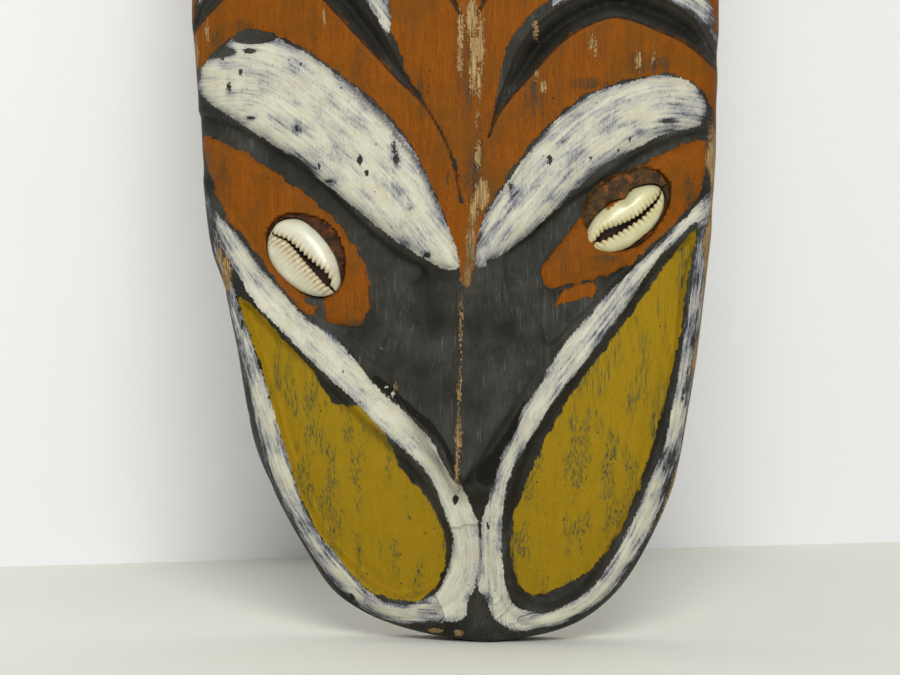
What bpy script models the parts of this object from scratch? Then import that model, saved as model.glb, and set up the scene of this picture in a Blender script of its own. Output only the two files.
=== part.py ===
"""Carved wooden wall mask with cowrie-shell eyes, as separate solids.

The frame: +Z is up, the painted front faces -Y, and Y = 0 is the flat back that lies on the wall.
The origin is where the wall nail stands out of the wall, just under the hanger's teeth.

The carving is laid out in millimetres: "across" runs to the right from the nose ridge, "up" is
the height above the chin, and "proud" is the distance out from the wall. Left and right are
the viewer's. The face's lines are drawn on a flat plane, as they look from one point in front
of the mask, and are carried on along the line of sight to the arched board behind that plane.
"""

import math

import bmesh
import bpy
import numpy as np
from mathutils import Matrix, Vector
from mathutils.geometry import delaunay_2d_cdt

MM = 0.001
GAP = 0.3  # between pieces that touch on the real mask

# The board
NAIL_HEIGHT = 320.0  # from the drawing's chin up to the wall nail
EDGE_THICKNESS = 15.0  # at the rim, along the sides
END_THICKNESS = 12.0  # at the rim, at chin and crown
ARCH_RISE = 15.0  # how far the middle of the front stands above the rim
END_TAPER = 80.0  # the arch grows to its full rise over this length from each end
RIM_ROUND = 4.5  # width of the worn rounding of the front edge
RIM_FALL = 3.6  # and its depth
KEEL_RISE = 2.0
KEEL_HALF_WIDTH = 16.0

# The drawing: the point that it is seen from, and how proud its plane stands
SIGHT_ACROSS, SIGHT_PROUD, SIGHT_UP = 91.5, 1022.0, 161.0
DRAWN_PROUD = 30.0

# The relief, above or below the board's arch
BROW_RISE = 3.2
BROW_ROUND = 5.0
SOCKET_SINK = 3.4
EYE_RISE = 2.4
EYE_ROUND = 4.0
BAND_RISE = 1.4
BAND_WIDTH = 4.5
PANEL_SINK = 2.4
PANEL_BEVEL = 3.0
GROOVE_DEPTH = 4.6
GROOVE_HALF_WIDTH = 4.2
NOSE_TOP = 103.0  # height on the face where the nose starts
NOSE_LENGTH = 60.0
NOSE_TIP_RISE = 11.0
NOSE_BRIDGE_RISE = 1.0
NOSE_FLANK_FALL = 5.0  # from the ridge down to the nose's edge
NOSE_FLANK_WIDTH = 22.0
WALL = 1.4  # width over which a carved step falls

# The hollow and the hanger's seat in the back
HOLLOW_CENTRE_UP = 170.0
HOLLOW_HALF = (50.0, 18.0, 128.0)  # across, deep, up
SEAT_SIZE = (58.0, 5.0, 22.0)

# The shells and their beds
SHELL_LENGTH = 25.0
SHELL_WIDTH = 16.5
SHELL_BELLY = 4.2  # the side with the slit
SHELL_BACK = 6.3  # the side set into the wood
SHELL_WALL = 1.6
POCKET_HALF = (16.0, 11.6, 8.6)
BED_BELOW_FACE = 1.2
SHELL_BELOW_FACE = 1.2  # of its widest line

# The hanger
PLATE_LENGTH = 44.0
PLATE_HEIGHT = 8.0
PLATE_THICK = 0.8
PLATE_LIFT = 1.8
TOOTH_PITCH = 3.0
TOOTH_DEPTH = 1.6
NAIL_SPACING = 38.0
NAIL_HEAD_RADIUS = 1.9
NAIL_HEAD_THICK = 0.7
NAIL_SHANK_RADIUS = 0.65
NAIL_LENGTH = 8.0

# Outline of the board, chin to crown, as (across, up)
LEFT_EDGE = [
    (4, 0), (-9, 1.4), (-20, 4.2), (-29, 8), (-37, 14), (-44, 25), (-51.5, 38.5), (-57, 52),
    (-60, 66), (-64.5, 92), (-69.5, 110), (-72, 140), (-74, 172), (-73.5, 215), (-70.5, 255),
    (-65, 290), (-56.5, 320), (-45, 345), (-32, 362), (-17, 372.5), (-2, 375),
]
RIGHT_EDGE = [
    (4, 0), (15, 0.9), (25, 3.2), (33, 7), (41, 14), (47, 23), (52.5, 34), (57, 46), (60, 62),
    (63.5, 87), (66, 112), (67, 140), (67.5, 172), (67.5, 215), (65, 255), (60, 290),
    (52, 320), (40.5, 345), (28, 362), (13, 372.5), (-2, 375),
]

# Closed outlines of the carved fields, as (across, up)
LEFT_BROW = [
    (-72, 154), (-67.5, 158.5), (-62, 163), (-56, 164.5), (-46, 160.5), (-33.5, 152.5),
    (-23.5, 144), (-15, 134), (-9, 122), (-4.8, 112), (-2, 103), (-5, 102), (-9.5, 104),
    (-19, 110), (-31, 119.5), (-44.5, 130.5), (-56.5, 138.5), (-67.5, 145.5), (-71.5, 149),
]
RIGHT_BROW = [
    (3.4, 103), (5.4, 114), (12.2, 125), (20.2, 136), (28.4, 144), (36.5, 149), (47, 152),
    (54, 153), (60.5, 150.8), (63.7, 146.6), (64, 142.6), (61.5, 140.5), (52.7, 138.3),
    (42, 132.6), (33.8, 127.5), (25.7, 119.6), (15, 110), (6.8, 104),
]
LEFT_EYE = [
    (-71.6, 137), (-61, 133), (-47, 124.3), (-36.5, 115.6), (-28.5, 105), (-26, 97),
    (-26.5, 89), (-30, 85.5), (-37, 87), (-44.5, 90), (-52, 97), (-58, 104), (-64, 114),
    (-69, 125),
]
RIGHT_EYE = [
    (64.5, 136), (57, 134.5), (47.2, 129.5), (35.6, 120), (27, 110.5), (21.5, 103.5),
    (20.5, 99), (24, 96), (34.3, 98.8), (45.4, 103.1), (54, 111), (60.8, 118.3), (64, 126),
]
LEFT_CHEEK = [
    (-62, 92.5), (-57.5, 92), (-50, 84), (-42, 77), (-34, 68.5), (-26, 60.5), (-18, 53),
    (-11.5, 46.5), (-7, 39), (-4, 32), (-3, 25), (-4, 18), (-8, 13.5), (-15, 11), (-22, 12),
    (-30, 18), (-38.5, 27.5), (-45, 39.5), (-50, 53), (-53.5, 66), (-58, 80),
]
RIGHT_CHEEK = [
    (63, 112.5), (56, 108.5), (46.5, 98.5), (39.5, 87), (30.5, 75), (22, 63), (16, 53.5),
    (12, 42), (10.5, 31), (11.5, 21), (15, 12), (22, 9), (29, 11.5), (35, 17), (42, 29),
    (47.5, 40.5), (52.5, 54), (56, 68), (58.5, 83), (60.5, 99),
]
# Ground between the brows and the diagonal bands, which is cut down around the eyes
LEFT_SOCKET = [
    (-74, 143), (-66, 142), (-54, 136), (-40.5, 127), (-29, 116), (-19, 107), (-10, 101.5),
    (-12, 92), (-20, 84), (-24, 75), (-33, 82), (-42, 88.5), (-52, 99), (-60, 109.5),
    (-67, 119), (-74, 129),
]
RIGHT_SOCKET = [
    (68, 139), (58, 138.5), (47.5, 134), (36.5, 127), (27, 120), (17.5, 112), (10, 105),
    (12, 95), (19, 87), (22.5, 80), (31, 88), (42, 98), (52, 107.5), (61, 117), (68, 124),
]
NOSE = [
    (-1, 43), (-6, 48), (-12.5, 57.5), (-19, 67), (-21, 75), (-20, 88), (-15, 98), (0, 103),
    (15, 98), (20, 88), (22, 79), (17.5, 70), (10, 58), (4, 48.5),
]
# Centre lines of the forehead's grooves, from the middle out to the rim. The lowest pair runs
# down to the bridge of the nose; the pair above it starts at the centre ridge and is repeated.
LEFT_LOW_ARCH = [
    (-1, 119.5), (-4, 133), (-10.8, 145.5), (-17.6, 153.5), (-24.3, 163), (-32.5, 173.5),
    (-41, 181), (-51, 184), (-61, 181), (-68.5, 173.5), (-77, 160),
]
RIGHT_LOW_ARCH = [
    (6.5, 137), (9.2, 144.7), (14, 153), (19.7, 161.5), (27, 168), (36.7, 172.5),
    (44, 172.5), (53.5, 169), (61, 164), (71, 151),
]
LEFT_HIGH_ARCH = [
    (-0.5, 167.5), (-3.2, 173.6), (-8, 182), (-15, 191), (-24, 199), (-34, 204.5),
    (-44, 206.5), (-55, 204.5), (-66, 198), (-77, 186),
]
RIGHT_HIGH_ARCH = [
    (3.4, 170), (5.6, 174), (10.5, 182.5), (17.5, 191.5), (26, 199), (36, 203.5),
    (45, 204), (54, 201), (62, 195), (71, 184),
]
ARCH_PITCH = 31.0  # from one pair of grooves up to the next
HIGH_PAIRS = 5
ARCH_LOWERING = 0.09  # each high pair arches this share less than the one below

# The mesh over the front
LINE_STEP = 5.0  # between points along a carved line
LATTICE_STEP = 7.5  # between points on plain ground
LATTICE_CLEAR = 3.2  # plain points keep this far from the carved lines
MERGE_WITHIN = 0.3

# Middle of each shell on the face, and how its long side is turned, in degrees
LEFT_EYE_AT = ((-43.7, 104.0), -44.0)
RIGHT_EYE_AT = ((43.5, 115.0), 215.0)


def clear_scene():
    for obj in list(bpy.data.objects):
        bpy.data.objects.remove(obj)


def material(name, colour, roughness, metallic=0.0):
    made = bpy.data.materials.new(name)
    made.use_nodes = True
    shader = made.node_tree.nodes["Principled BSDF"]
    shader.inputs["Base Color"].default_value = (*colour, 1.0)
    shader.inputs["Roughness"].default_value = roughness
    shader.inputs["Metallic"].default_value = metallic
    return made


def add_object(name, mesh, finish=None, parent=None):
    obj = bpy.data.objects.new(name, mesh)
    bpy.context.scene.collection.objects.link(obj)
    if finish:
        mesh.materials.append(finish)
    obj.parent = parent
    return obj


def as_cutter(obj):
    obj.hide_render = True
    obj.display_type = "WIRE"
    return obj


def cut(obj, cutter, operation="DIFFERENCE"):
    modifier = obj.modifiers.new(operation.title() + " " + cutter.name, "BOOLEAN")
    modifier.operation = operation
    modifier.object = cutter


def shade(mesh, angle=35.0):
    mesh.shade_smooth()
    mesh.set_sharp_from_angle(angle=math.radians(angle))


def mesh_from_rings(name, rings):
    """A closed mesh through rings of equal length, with a flat face over the first and the last."""
    work = bmesh.new()
    loops = [[work.verts.new(Vector(point) * MM) for point in ring] for ring in rings]
    count = len(rings[0])
    for lower, upper in zip(loops, loops[1:]):
        for i in range(count):
            j = (i + 1) % count
            work.faces.new((lower[i], lower[j], upper[j], upper[i]))
    work.faces.new(reversed(loops[0]))
    work.faces.new(loops[-1])
    bmesh.ops.recalc_face_normals(work, faces=work.faces)
    mesh = bpy.data.meshes.new(name)
    work.to_mesh(mesh)
    work.free()
    return mesh


def smooth_step(share):
    share = np.clip(share, 0.0, 1.0)
    return share * share * (3.0 - 2.0 * share)


def spline(points, closed=False, steps=6):
    """A smooth line through the points (Catmull-Rom), with this many steps between them."""
    given = np.array(points, float)
    if closed:
        padded = np.vstack([given[-1], given, given[:2]])
    else:
        before, after = 2 * given[0] - given[1], 2 * given[-1] - given[-2]
        padded = np.vstack([before, given, after])
    t = np.arange(steps)[:, None] / steps
    pieces = []
    for a, b, c, d in zip(padded, padded[1:], padded[2:], padded[3:]):
        cubic = (2 * a - 5 * b + 4 * c - d) * t**2 + (3 * b - a - 3 * c + d) * t**3
        pieces.append(0.5 * (2 * b + (c - a) * t + cubic))
    if not closed:
        pieces.append(given[-1:])
    return np.vstack(pieces)


def distance_to_line(across, up, line):
    """Distance to a polyline, and how far along it the nearest point is, from 0 to 1."""
    nearest = np.full(across.shape, 1e9)
    along = np.zeros(across.shape)
    legs = len(line) - 1
    for i, ((x0, z0), (x1, z1)) in enumerate(zip(line, line[1:])):
        run, climb = x1 - x0, z1 - z0
        share = ((across - x0) * run + (up - z0) * climb) / (run * run + climb * climb)
        share = np.clip(share, 0.0, 1.0)
        gap = np.hypot(across - x0 - share * run, up - z0 - share * climb)
        closer = gap < nearest
        nearest = np.where(closer, gap, nearest)
        along = np.where(closer, (i + share) / legs, along)
    return nearest, along


def depth_inside(across, up, outline):
    """How far inside a closed outline each point lies; negative outside."""
    loop = spline(outline, closed=True)
    loop = np.vstack([loop, loop[:1]])
    nearest, _ = distance_to_line(across, up, loop)
    inside = np.zeros(across.shape, bool)
    for (x0, z0), (x1, z1) in zip(loop, loop[1:]):
        if z0 == z1:
            continue
        crosses = (up < z0) != (up < z1)
        inside ^= crosses & (across < x0 + (up - z0) * (x1 - x0) / (z1 - z0))
    return np.where(inside, nearest, -nearest)


def onto_board(across, up, proud):
    """Where a point of the drawing falls on the board, whose front stands this proud there."""
    ratio = (SIGHT_PROUD - proud) / (SIGHT_PROUD - DRAWN_PROUD)
    return SIGHT_ACROSS + (across - SIGHT_ACROSS) * ratio, SIGHT_UP + (up - SIGHT_UP) * ratio


def onto_drawing(across, up, proud):
    """Where a point of the board's front falls on the drawing."""
    ratio = (SIGHT_PROUD - DRAWN_PROUD) / (SIGHT_PROUD - proud)
    return SIGHT_ACROSS + (across - SIGHT_ACROSS) * ratio, SIGHT_UP + (up - SIGHT_UP) * ratio


def line_onto_board(line):
    """A drawn line, carried on to the board's arch."""
    across, up = line[:, 0], line[:, 1]
    for _ in range(2):
        proud = board_arch(across, up)
        across, up = onto_board(line[:, 0], line[:, 1], proud)
    return np.stack([across, up], axis=1)


def rim_line(edge):
    """One side of the board's real outline, chin to crown."""
    across, up = np.array(edge, float).T
    return np.stack(onto_board(across, up, END_THICKNESS), axis=1)


def rim(up):
    """Left and right edge of the board at each height."""
    left, right = spline(rim_line(LEFT_EDGE)), spline(rim_line(RIGHT_EDGE))
    return np.interp(up, left[:, 1], left[:, 0]), np.interp(up, right[:, 1], right[:, 0])


def chin_and_crown():
    ends = rim_line(LEFT_EDGE)
    return ends[0, 1], ends[-1, 1]


def arches():
    """Centre lines of the forehead grooves: each high pair repeats the first, higher and flatter."""
    lines = [spline(LEFT_LOW_ARCH), spline(RIGHT_LOW_ARCH)]
    for side, first in enumerate((LEFT_HIGH_ARCH, RIGHT_HIGH_ARCH)):
        line = spline(first)
        (root_across, root_up), end_up = line[0], line[-1, 1]
        for pair in range(HIGH_PAIRS):
            lower = (1.0 - ARCH_LOWERING) ** pair
            up = root_up + (line[:, 1] - root_up) * lower + ARCH_PITCH * pair
            wide = rim(up[-1])[side] / rim(end_up)[side]
            across = root_across + (line[:, 0] - root_across) * wide
            lines.append(np.stack([across, up], axis=1))
    return lines


def board_arch(across, up):
    """The plain arched front, before any carving."""
    left, right = rim(up)
    half = np.maximum((right - left) / 2, 0.1)
    from_middle = np.clip(np.abs(across - (left + right) / 2) / half, 0.0, 1.0)
    chin, crown = chin_and_crown()
    full = smooth_step(np.minimum(up - chin, crown - up) / END_TAPER)
    edge = END_THICKNESS + (EDGE_THICKNESS - END_THICKNESS) * full
    rise = ARCH_RISE * (0.15 + 0.85 * full)
    keel = KEEL_RISE * full * smooth_step(1.0 - np.abs(across) / KEEL_HALF_WIDTH)
    return edge + rise * (1.0 - from_middle**2.2) + keel


def pillow(inside, rounding):
    """0 outside, rising as a quarter round to 1 at the rounding's width inside."""
    share = np.clip(inside / rounding, 0.0, 1.0)
    return np.sqrt(1.0 - (1.0 - share) ** 2)


def front(across, up):
    """Height of the carved front above the back plane."""
    arch = board_arch(across, up)
    across, up = onto_drawing(across, up, arch)
    proud = arch
    left_fields = (LEFT_BROW, LEFT_SOCKET, LEFT_EYE)
    right_fields = (RIGHT_BROW, RIGHT_SOCKET, RIGHT_EYE)
    for brow, socket, eye in (left_fields, right_fields):
        in_brow = depth_inside(across, up, brow)
        sunk = smooth_step(depth_inside(across, up, socket) / WALL)
        sunk = sunk * smooth_step(-in_brow / WALL)
        mound = pillow(depth_inside(across, up, eye), EYE_ROUND)
        proud = proud - SOCKET_SINK * sunk + EYE_RISE * mound
        proud = proud + BROW_RISE * pillow(in_brow, BROW_ROUND)
    for cheek in (LEFT_CHEEK, RIGHT_CHEEK):
        inside = depth_inside(across, up, cheek)
        band = np.where(inside < 0, pillow(inside + BAND_WIDTH, BAND_WIDTH), 1.0)
        proud = proud + BAND_RISE * band
        proud = proud - (PANEL_SINK + BAND_RISE) * smooth_step(inside / PANEL_BEVEL)
    for line in arches():
        away, along = distance_to_line(across, up, line)
        width = groove_width(along)
        valley = np.clip(1.0 - away / width, 0.0, 1.0)
        proud = proud - GROOVE_DEPTH * (width / GROOVE_HALF_WIDTH) * valley
    down_nose = np.clip((NOSE_TOP - up) / NOSE_LENGTH, 0.0, 1.0)
    ridge = NOSE_BRIDGE_RISE + (NOSE_TIP_RISE - NOSE_BRIDGE_RISE) * down_nose
    flank = NOSE_FLANK_FALL * np.minimum(np.abs(across) / NOSE_FLANK_WIDTH, 1.0)
    nose = arch + ridge - flank
    share = smooth_step(depth_inside(across, up, NOSE) / WALL)
    return proud + np.maximum(nose - proud, 0.0) * share


def groove_width(along):
    """Half width of a forehead groove: narrow where it leaves the centre ridge."""
    return GROOVE_HALF_WIDTH * (0.3 + 0.7 * smooth_step(along / 0.35))


def round_rim(across, up, proud):
    """Takes the front's edge down in a worn round."""
    inside = depth_inside(across, up, outline())
    worn = 1.0 - pillow(np.maximum(inside, 0.0), RIM_ROUND)
    return proud - RIM_FALL * worn


def outline():
    """The board's whole outline, anticlockwise from the chin."""
    return np.vstack([rim_line(RIGHT_EDGE), rim_line(LEFT_EDGE)[-2:0:-1]])


def resample(line, step, closed=False):
    """Points at even distances along a line."""
    if closed:
        line = np.vstack([line, line[:1]])
    leg = np.hypot(*np.diff(line, axis=0).T)
    run = np.concatenate([[0.0], np.cumsum(leg)])
    count = max(int(round(run[-1] / step)), 2)
    at = np.linspace(0.0, run[-1], count + 1)
    even = np.stack([np.interp(at, run, line[:, 0]), np.interp(at, run, line[:, 1])], axis=1)
    return even[:-1] if closed else even


def moved(line, distance, closed=False):
    """The line shifted to its left, each point by the same distance (or its own)."""
    if closed:
        ahead = np.roll(line, -1, axis=0) - np.roll(line, 1, axis=0)
    else:
        ahead = np.gradient(line, axis=0)
    ahead = ahead / np.hypot(ahead[:, 0], ahead[:, 1])[:, None]
    left = np.stack([-ahead[:, 1], ahead[:, 0]], axis=1)
    return line + left * np.reshape(distance, (-1, 1))


def runs_at_depth(shape, inset):
    """Parts of the closed line that lies this far inside an outline, broken at its tight corners."""
    line = resample(spline(shape, closed=True), LINE_STEP, closed=True)
    following = np.roll(line, -1, axis=0)
    area = np.sum(line[:, 0] * following[:, 1] - following[:, 0] * line[:, 1])
    shifted = moved(line, inset if area > 0 else -inset, closed=True)
    depth = depth_inside(shifted[:, 0], shifted[:, 1], shape)
    good = np.abs(depth - inset) < 0.25
    shifted, good = np.vstack([shifted, shifted[:1]]), np.append(good, good[0])
    runs, run = [], []
    for point, kept in zip(shifted, good):
        if kept:
            run.append(point)
        else:
            runs.append(run)
            run = []
    runs.append(run)
    return [np.array(run) for run in runs if len(run) > 1]


def carved_lines():
    """All lines along which the carved front bends, on the board: the mesh's edges follow them."""
    lines = []
    rounds = (
        ((LEFT_BROW, RIGHT_BROW), (-WALL, 0.0, 0.15 * BROW_ROUND, 0.45 * BROW_ROUND, BROW_ROUND)),
        ((LEFT_EYE, RIGHT_EYE), (0.0, 0.3 * EYE_ROUND, EYE_ROUND)),
        ((LEFT_SOCKET, RIGHT_SOCKET, NOSE), (0.0, WALL)),
        ((LEFT_CHEEK, RIGHT_CHEEK), (-BAND_WIDTH, -0.7 * BAND_WIDTH, 0.0, PANEL_BEVEL)),
    )
    for shapes, insets in rounds:
        for shape in shapes:
            for inset in insets:
                lines += runs_at_depth(shape, inset)
    for arch in arches():
        centre = resample(arch, LINE_STEP)
        share = np.linspace(0.0, 1.0, len(centre))
        width = groove_width(share)
        lines += [centre, moved(centre, width), moved(centre, -width)]
    lines.append(np.array([(0.0, NOSE_TOP - 4.0), (0.0, NOSE_TOP - NOSE_LENGTH)]))
    return [line_onto_board(line) for line in lines]


def front_points():
    """Points on the face, with the pairs of them that the mesh must join."""
    shape = outline()
    edge = resample(spline(shape, closed=True), LINE_STEP, closed=True)
    points, joins = list(edge), [(i, (i + 1) % len(edge)) for i in range(len(edge))]
    lines = carved_lines()
    for inset in (0.15 * RIM_ROUND, 0.45 * RIM_ROUND, RIM_ROUND):
        lines += runs_at_depth(shape, inset)
    for line in lines:
        inside = depth_inside(line[:, 0], line[:, 1], shape) > 0.1
        for i, (point, kept) in enumerate(zip(line, inside)):
            if not kept:
                continue
            if i and inside[i - 1]:
                joins.append((len(points) - 1, len(points)))
            points.append(point)
    xs = np.arange(-78.0, 78.0, LATTICE_STEP)
    ups = np.arange(*chin_and_crown(), LATTICE_STEP)
    across, up = (grid.ravel() for grid in np.meshgrid(xs, ups))
    known = np.array(points)
    clear = np.hypot(across[:, None] - known[:, 0], up[:, None] - known[:, 1]).min(axis=1)
    keep = (clear > LATTICE_CLEAR) & (depth_inside(across, up, shape) > LATTICE_CLEAR)
    points += list(np.stack([across[keep], up[keep]], axis=1))
    return points, joins


def board_mesh():
    """Front triangulated along its carved lines, straight sides, and a flat back."""
    points, joins = front_points()
    flat = [Vector((float(x), float(z))) for x, z in points]
    inside_only = 1
    corners, _, faces, *_ = delaunay_2d_cdt(flat, joins, [], inside_only, MERGE_WITHIN)
    across = np.array([corner.x for corner in corners])
    up = np.array([corner.y for corner in corners])
    proud = round_rim(across, up, front(across, up))
    work = bmesh.new()
    verts = [
        work.verts.new(Vector((x, -p, z - NAIL_HEIGHT)) * MM)
        for x, z, p in zip(across, up, proud)
    ]
    for face in faces:
        work.faces.new([verts[i] for i in face])
    rim_edges = [edge for edge in work.edges if edge.is_boundary]
    made = bmesh.ops.extrude_edge_only(work, edges=rim_edges)["geom"]
    for vert in made:
        if isinstance(vert, bmesh.types.BMVert):
            vert.co.y = 0.0
    back = [edge for edge in made if isinstance(edge, bmesh.types.BMEdge) and edge.is_boundary]
    bmesh.ops.contextual_create(work, geom=back)
    bmesh.ops.recalc_face_normals(work, faces=work.faces)
    mesh = bpy.data.meshes.new("mask_board")
    work.to_mesh(mesh)
    work.free()
    return mesh


def ellipsoid(name, half, rings=16, segments=32):
    work = bmesh.new()
    bmesh.ops.create_uvsphere(work, u_segments=segments, v_segments=rings, radius=1.0)
    bmesh.ops.scale(work, vec=Vector(half) * MM, verts=work.verts)
    mesh = bpy.data.meshes.new(name)
    work.to_mesh(mesh)
    work.free()
    return mesh


def block(name, size, bevel=0.0):
    work = bmesh.new()
    bmesh.ops.create_cube(work, size=1.0)
    bmesh.ops.scale(work, vec=Vector(size) * MM, verts=work.verts)
    if bevel:
        edges = list(work.edges)
        bmesh.ops.bevel(work, geom=edges, offset=bevel * MM, segments=2, affect="EDGES")
    mesh = bpy.data.meshes.new(name)
    work.to_mesh(mesh)
    work.free()
    return mesh


def make_board():
    wood = material("painted_wood", (0.16, 0.07, 0.025), 0.75)
    mesh = board_mesh()
    shade(mesh)
    board = add_object("mask_board", mesh, wood)
    hollow = as_cutter(add_object("hollow_cutter", ellipsoid("hollow", HOLLOW_HALF)))
    hollow.location.z = (HOLLOW_CENTRE_UP - NAIL_HEIGHT) * MM
    cut(board, hollow)
    # The seat's cutter reaches as far behind the back as it cuts into it
    across, deep, tall = SEAT_SIZE
    seat = as_cutter(add_object("seat_cutter", block("seat", (across, 2 * deep, tall), 2.0)))
    seat.location.z = (PLATE_HEIGHT / 2) * MM
    cut(board, seat)
    return board


def eye_frame(name, at, turn):
    """An empty on the carved face: its X runs along the shell and its Z points out of the wood."""
    drawn_across, drawn_up = np.array(at)[:, None]
    drawn_proud = board_arch(drawn_across, drawn_up)
    (across,), (up,) = onto_board(drawn_across, drawn_up, drawn_proud)
    step = 6.0
    xs = np.array([across - step, across + step, across, across])
    ups = np.array([up, up, up - step, up + step])
    # The arch is measured, not the carving, so that the shell follows the whole face
    heights = board_arch(xs, ups)
    slope_across = (heights[1] - heights[0]) / (2 * step)
    slope_up = (heights[3] - heights[2]) / (2 * step)
    normal = Vector((-slope_across, -1.0, -slope_up)).normalized()
    angle = math.radians(turn)
    along = Vector((math.cos(angle), 0.0, math.sin(angle)))
    along = (along - normal * along.dot(normal)).normalized()
    side = normal.cross(along)
    turned = Matrix((along, side, normal)).transposed().to_4x4()
    proud = board_arch(np.array([across]), np.array([up]))[0]
    surface = proud - SOCKET_SINK + EYE_RISE
    frame = bpy.data.objects.new(name, None)
    bpy.context.scene.collection.objects.link(frame)
    place = Vector((across, -surface, up - NAIL_HEIGHT)) * MM
    frame.matrix_world = Matrix.Translation(place) @ turned
    return frame


def shell_profile(share):
    """Half width of the shell at a share of its half length: egg-shaped, blunter at -1."""
    plump = (1.0 - np.abs(share) ** 2.2) ** 0.55
    return plump * (1.0 - 0.13 * share)


def shell_mesh(name, grow=0.0, segments=24, steps=14):
    """The closed outer form of a cowrie, grown by a margin all round."""
    half_length, half_width = SHELL_LENGTH / 2 + grow, SHELL_WIDTH / 2 + grow
    rings = []
    for angle in np.linspace(0.12, math.pi - 0.12, steps):
        share = -math.cos(angle)
        wide = half_width * shell_profile(share)
        belly, back = (SHELL_BELLY + grow) * wide, (SHELL_BACK + grow) * wide
        ring = []
        for turn in np.linspace(0.0, 2 * math.pi, segments, endpoint=False):
            lift = belly if math.sin(turn) > 0 else back
            ring.append(
                (half_length * share, wide * math.cos(turn), lift / half_width * math.sin(turn))
            )
        rings.append(ring)
    return mesh_from_rings(name, rings)


def slit_mesh(name):
    """Cutter for the aperture: a narrow bent slot down the middle of the belly."""
    rings = []
    for share in np.linspace(-1.0, 1.0, 13):
        middle = 1.2 - 1.6 * share * share
        half = 0.35 + 0.55 * (1.0 - share * share) + 0.25 * max(share, 0.0) * (1 - share)
        x = 9.6 * share
        corners = ((middle - half, 6.0), (middle + half, 6.0), (middle + half, -1.0))
        rings.append([(x, y, z) for y, z in (*corners, (middle - half, -1.0))])
    return mesh_from_rings(name, rings)


def make_eye(side, at, turn, board):
    """One pocket in the board, its bed of resin putty, and the shell pressed into the bed."""
    frame = eye_frame(f"{side}_eye_frame", at, turn)
    pocket = as_cutter(
        add_object(f"{side}_pocket_cutter", ellipsoid("pocket", POCKET_HALF), parent=frame)
    )
    cut(board, pocket)

    putty = material(f"{side}_putty", (0.05, 0.02, 0.008), 0.6)
    bed_half = [half - GAP for half in POCKET_HALF]
    bed_mesh = ellipsoid(f"{side}_eye_putty", bed_half, rings=12, segments=24)
    shade(bed_mesh)
    bed = add_object(f"{side}_eye_putty", bed_mesh, putty, frame)
    above = as_cutter(add_object(f"{side}_bed_top", block("bed_top", (40, 40, 20)), parent=frame))
    above.location.z = (10.0 - BED_BELOW_FACE) * MM
    cut(bed, above)
    imprint = as_cutter(
        add_object(f"{side}_imprint", shell_mesh("imprint", GAP, 20, 12), parent=frame)
    )
    imprint.location.z = -SHELL_BELOW_FACE * MM
    cut(bed, imprint)

    glaze = material(f"{side}_shell", (0.69, 0.67, 0.49), 0.25)
    mesh = shell_mesh(f"{side}_cowrie")
    shade(mesh, 60)
    shell = add_object(f"{side}_cowrie", mesh, glaze, frame)
    shell.location.z = -SHELL_BELOW_FACE * MM
    inner = as_cutter(
        add_object(f"{side}_shell_inside", shell_mesh("inside", -SHELL_WALL, 14, 10), parent=frame)
    )
    inner.location.z = -SHELL_BELOW_FACE * MM
    cut(shell, inner)
    slit = as_cutter(add_object(f"{side}_slit", slit_mesh("slit"), parent=frame))
    slit.location.z = -SHELL_BELOW_FACE * MM
    cut(shell, slit)


def turned_mesh(name, profile, segments=16):
    """A solid turned about Y from (radius, y) points, given from one end to the other."""
    rings = []
    for radius, y in profile:
        turns = np.linspace(0.0, 2 * math.pi, segments, endpoint=False)
        rings.append([(radius * math.cos(t), y, radius * math.sin(t)) for t in turns])
    return mesh_from_rings(name, rings)


def plate_mesh():
    """Saw-toothed strip: flat ends against the wood, and a lifted middle with teeth below."""
    half = PLATE_LENGTH / 2
    lifted = half - 9.0
    tooth_count = int(2 * (lifted - 1.0) / TOOTH_PITCH)
    first = -tooth_count * TOOTH_PITCH / 2
    spots = [-half, -lifted - 2.0, -lifted]
    for i in range(tooth_count):
        spots += [first + i * TOOTH_PITCH, first + (i + 0.5) * TOOTH_PITCH]
    spots += [-first, lifted, lifted + 2.0, half]
    rings = []
    for i, x in enumerate(spots):
        lift = PLATE_LIFT if abs(x) <= lifted + 0.01 else 0.0
        peak = abs(x) < -first and (i - 3) % 2 == 1
        bottom = TOOTH_DEPTH if peak else 0.0
        near, far = lift, lift + PLATE_THICK
        rings.append(
            [(x, near, bottom), (x, far, bottom), (x, far, PLATE_HEIGHT), (x, near, PLATE_HEIGHT)]
        )
    return mesh_from_rings("hanger_plate", rings)


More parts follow.
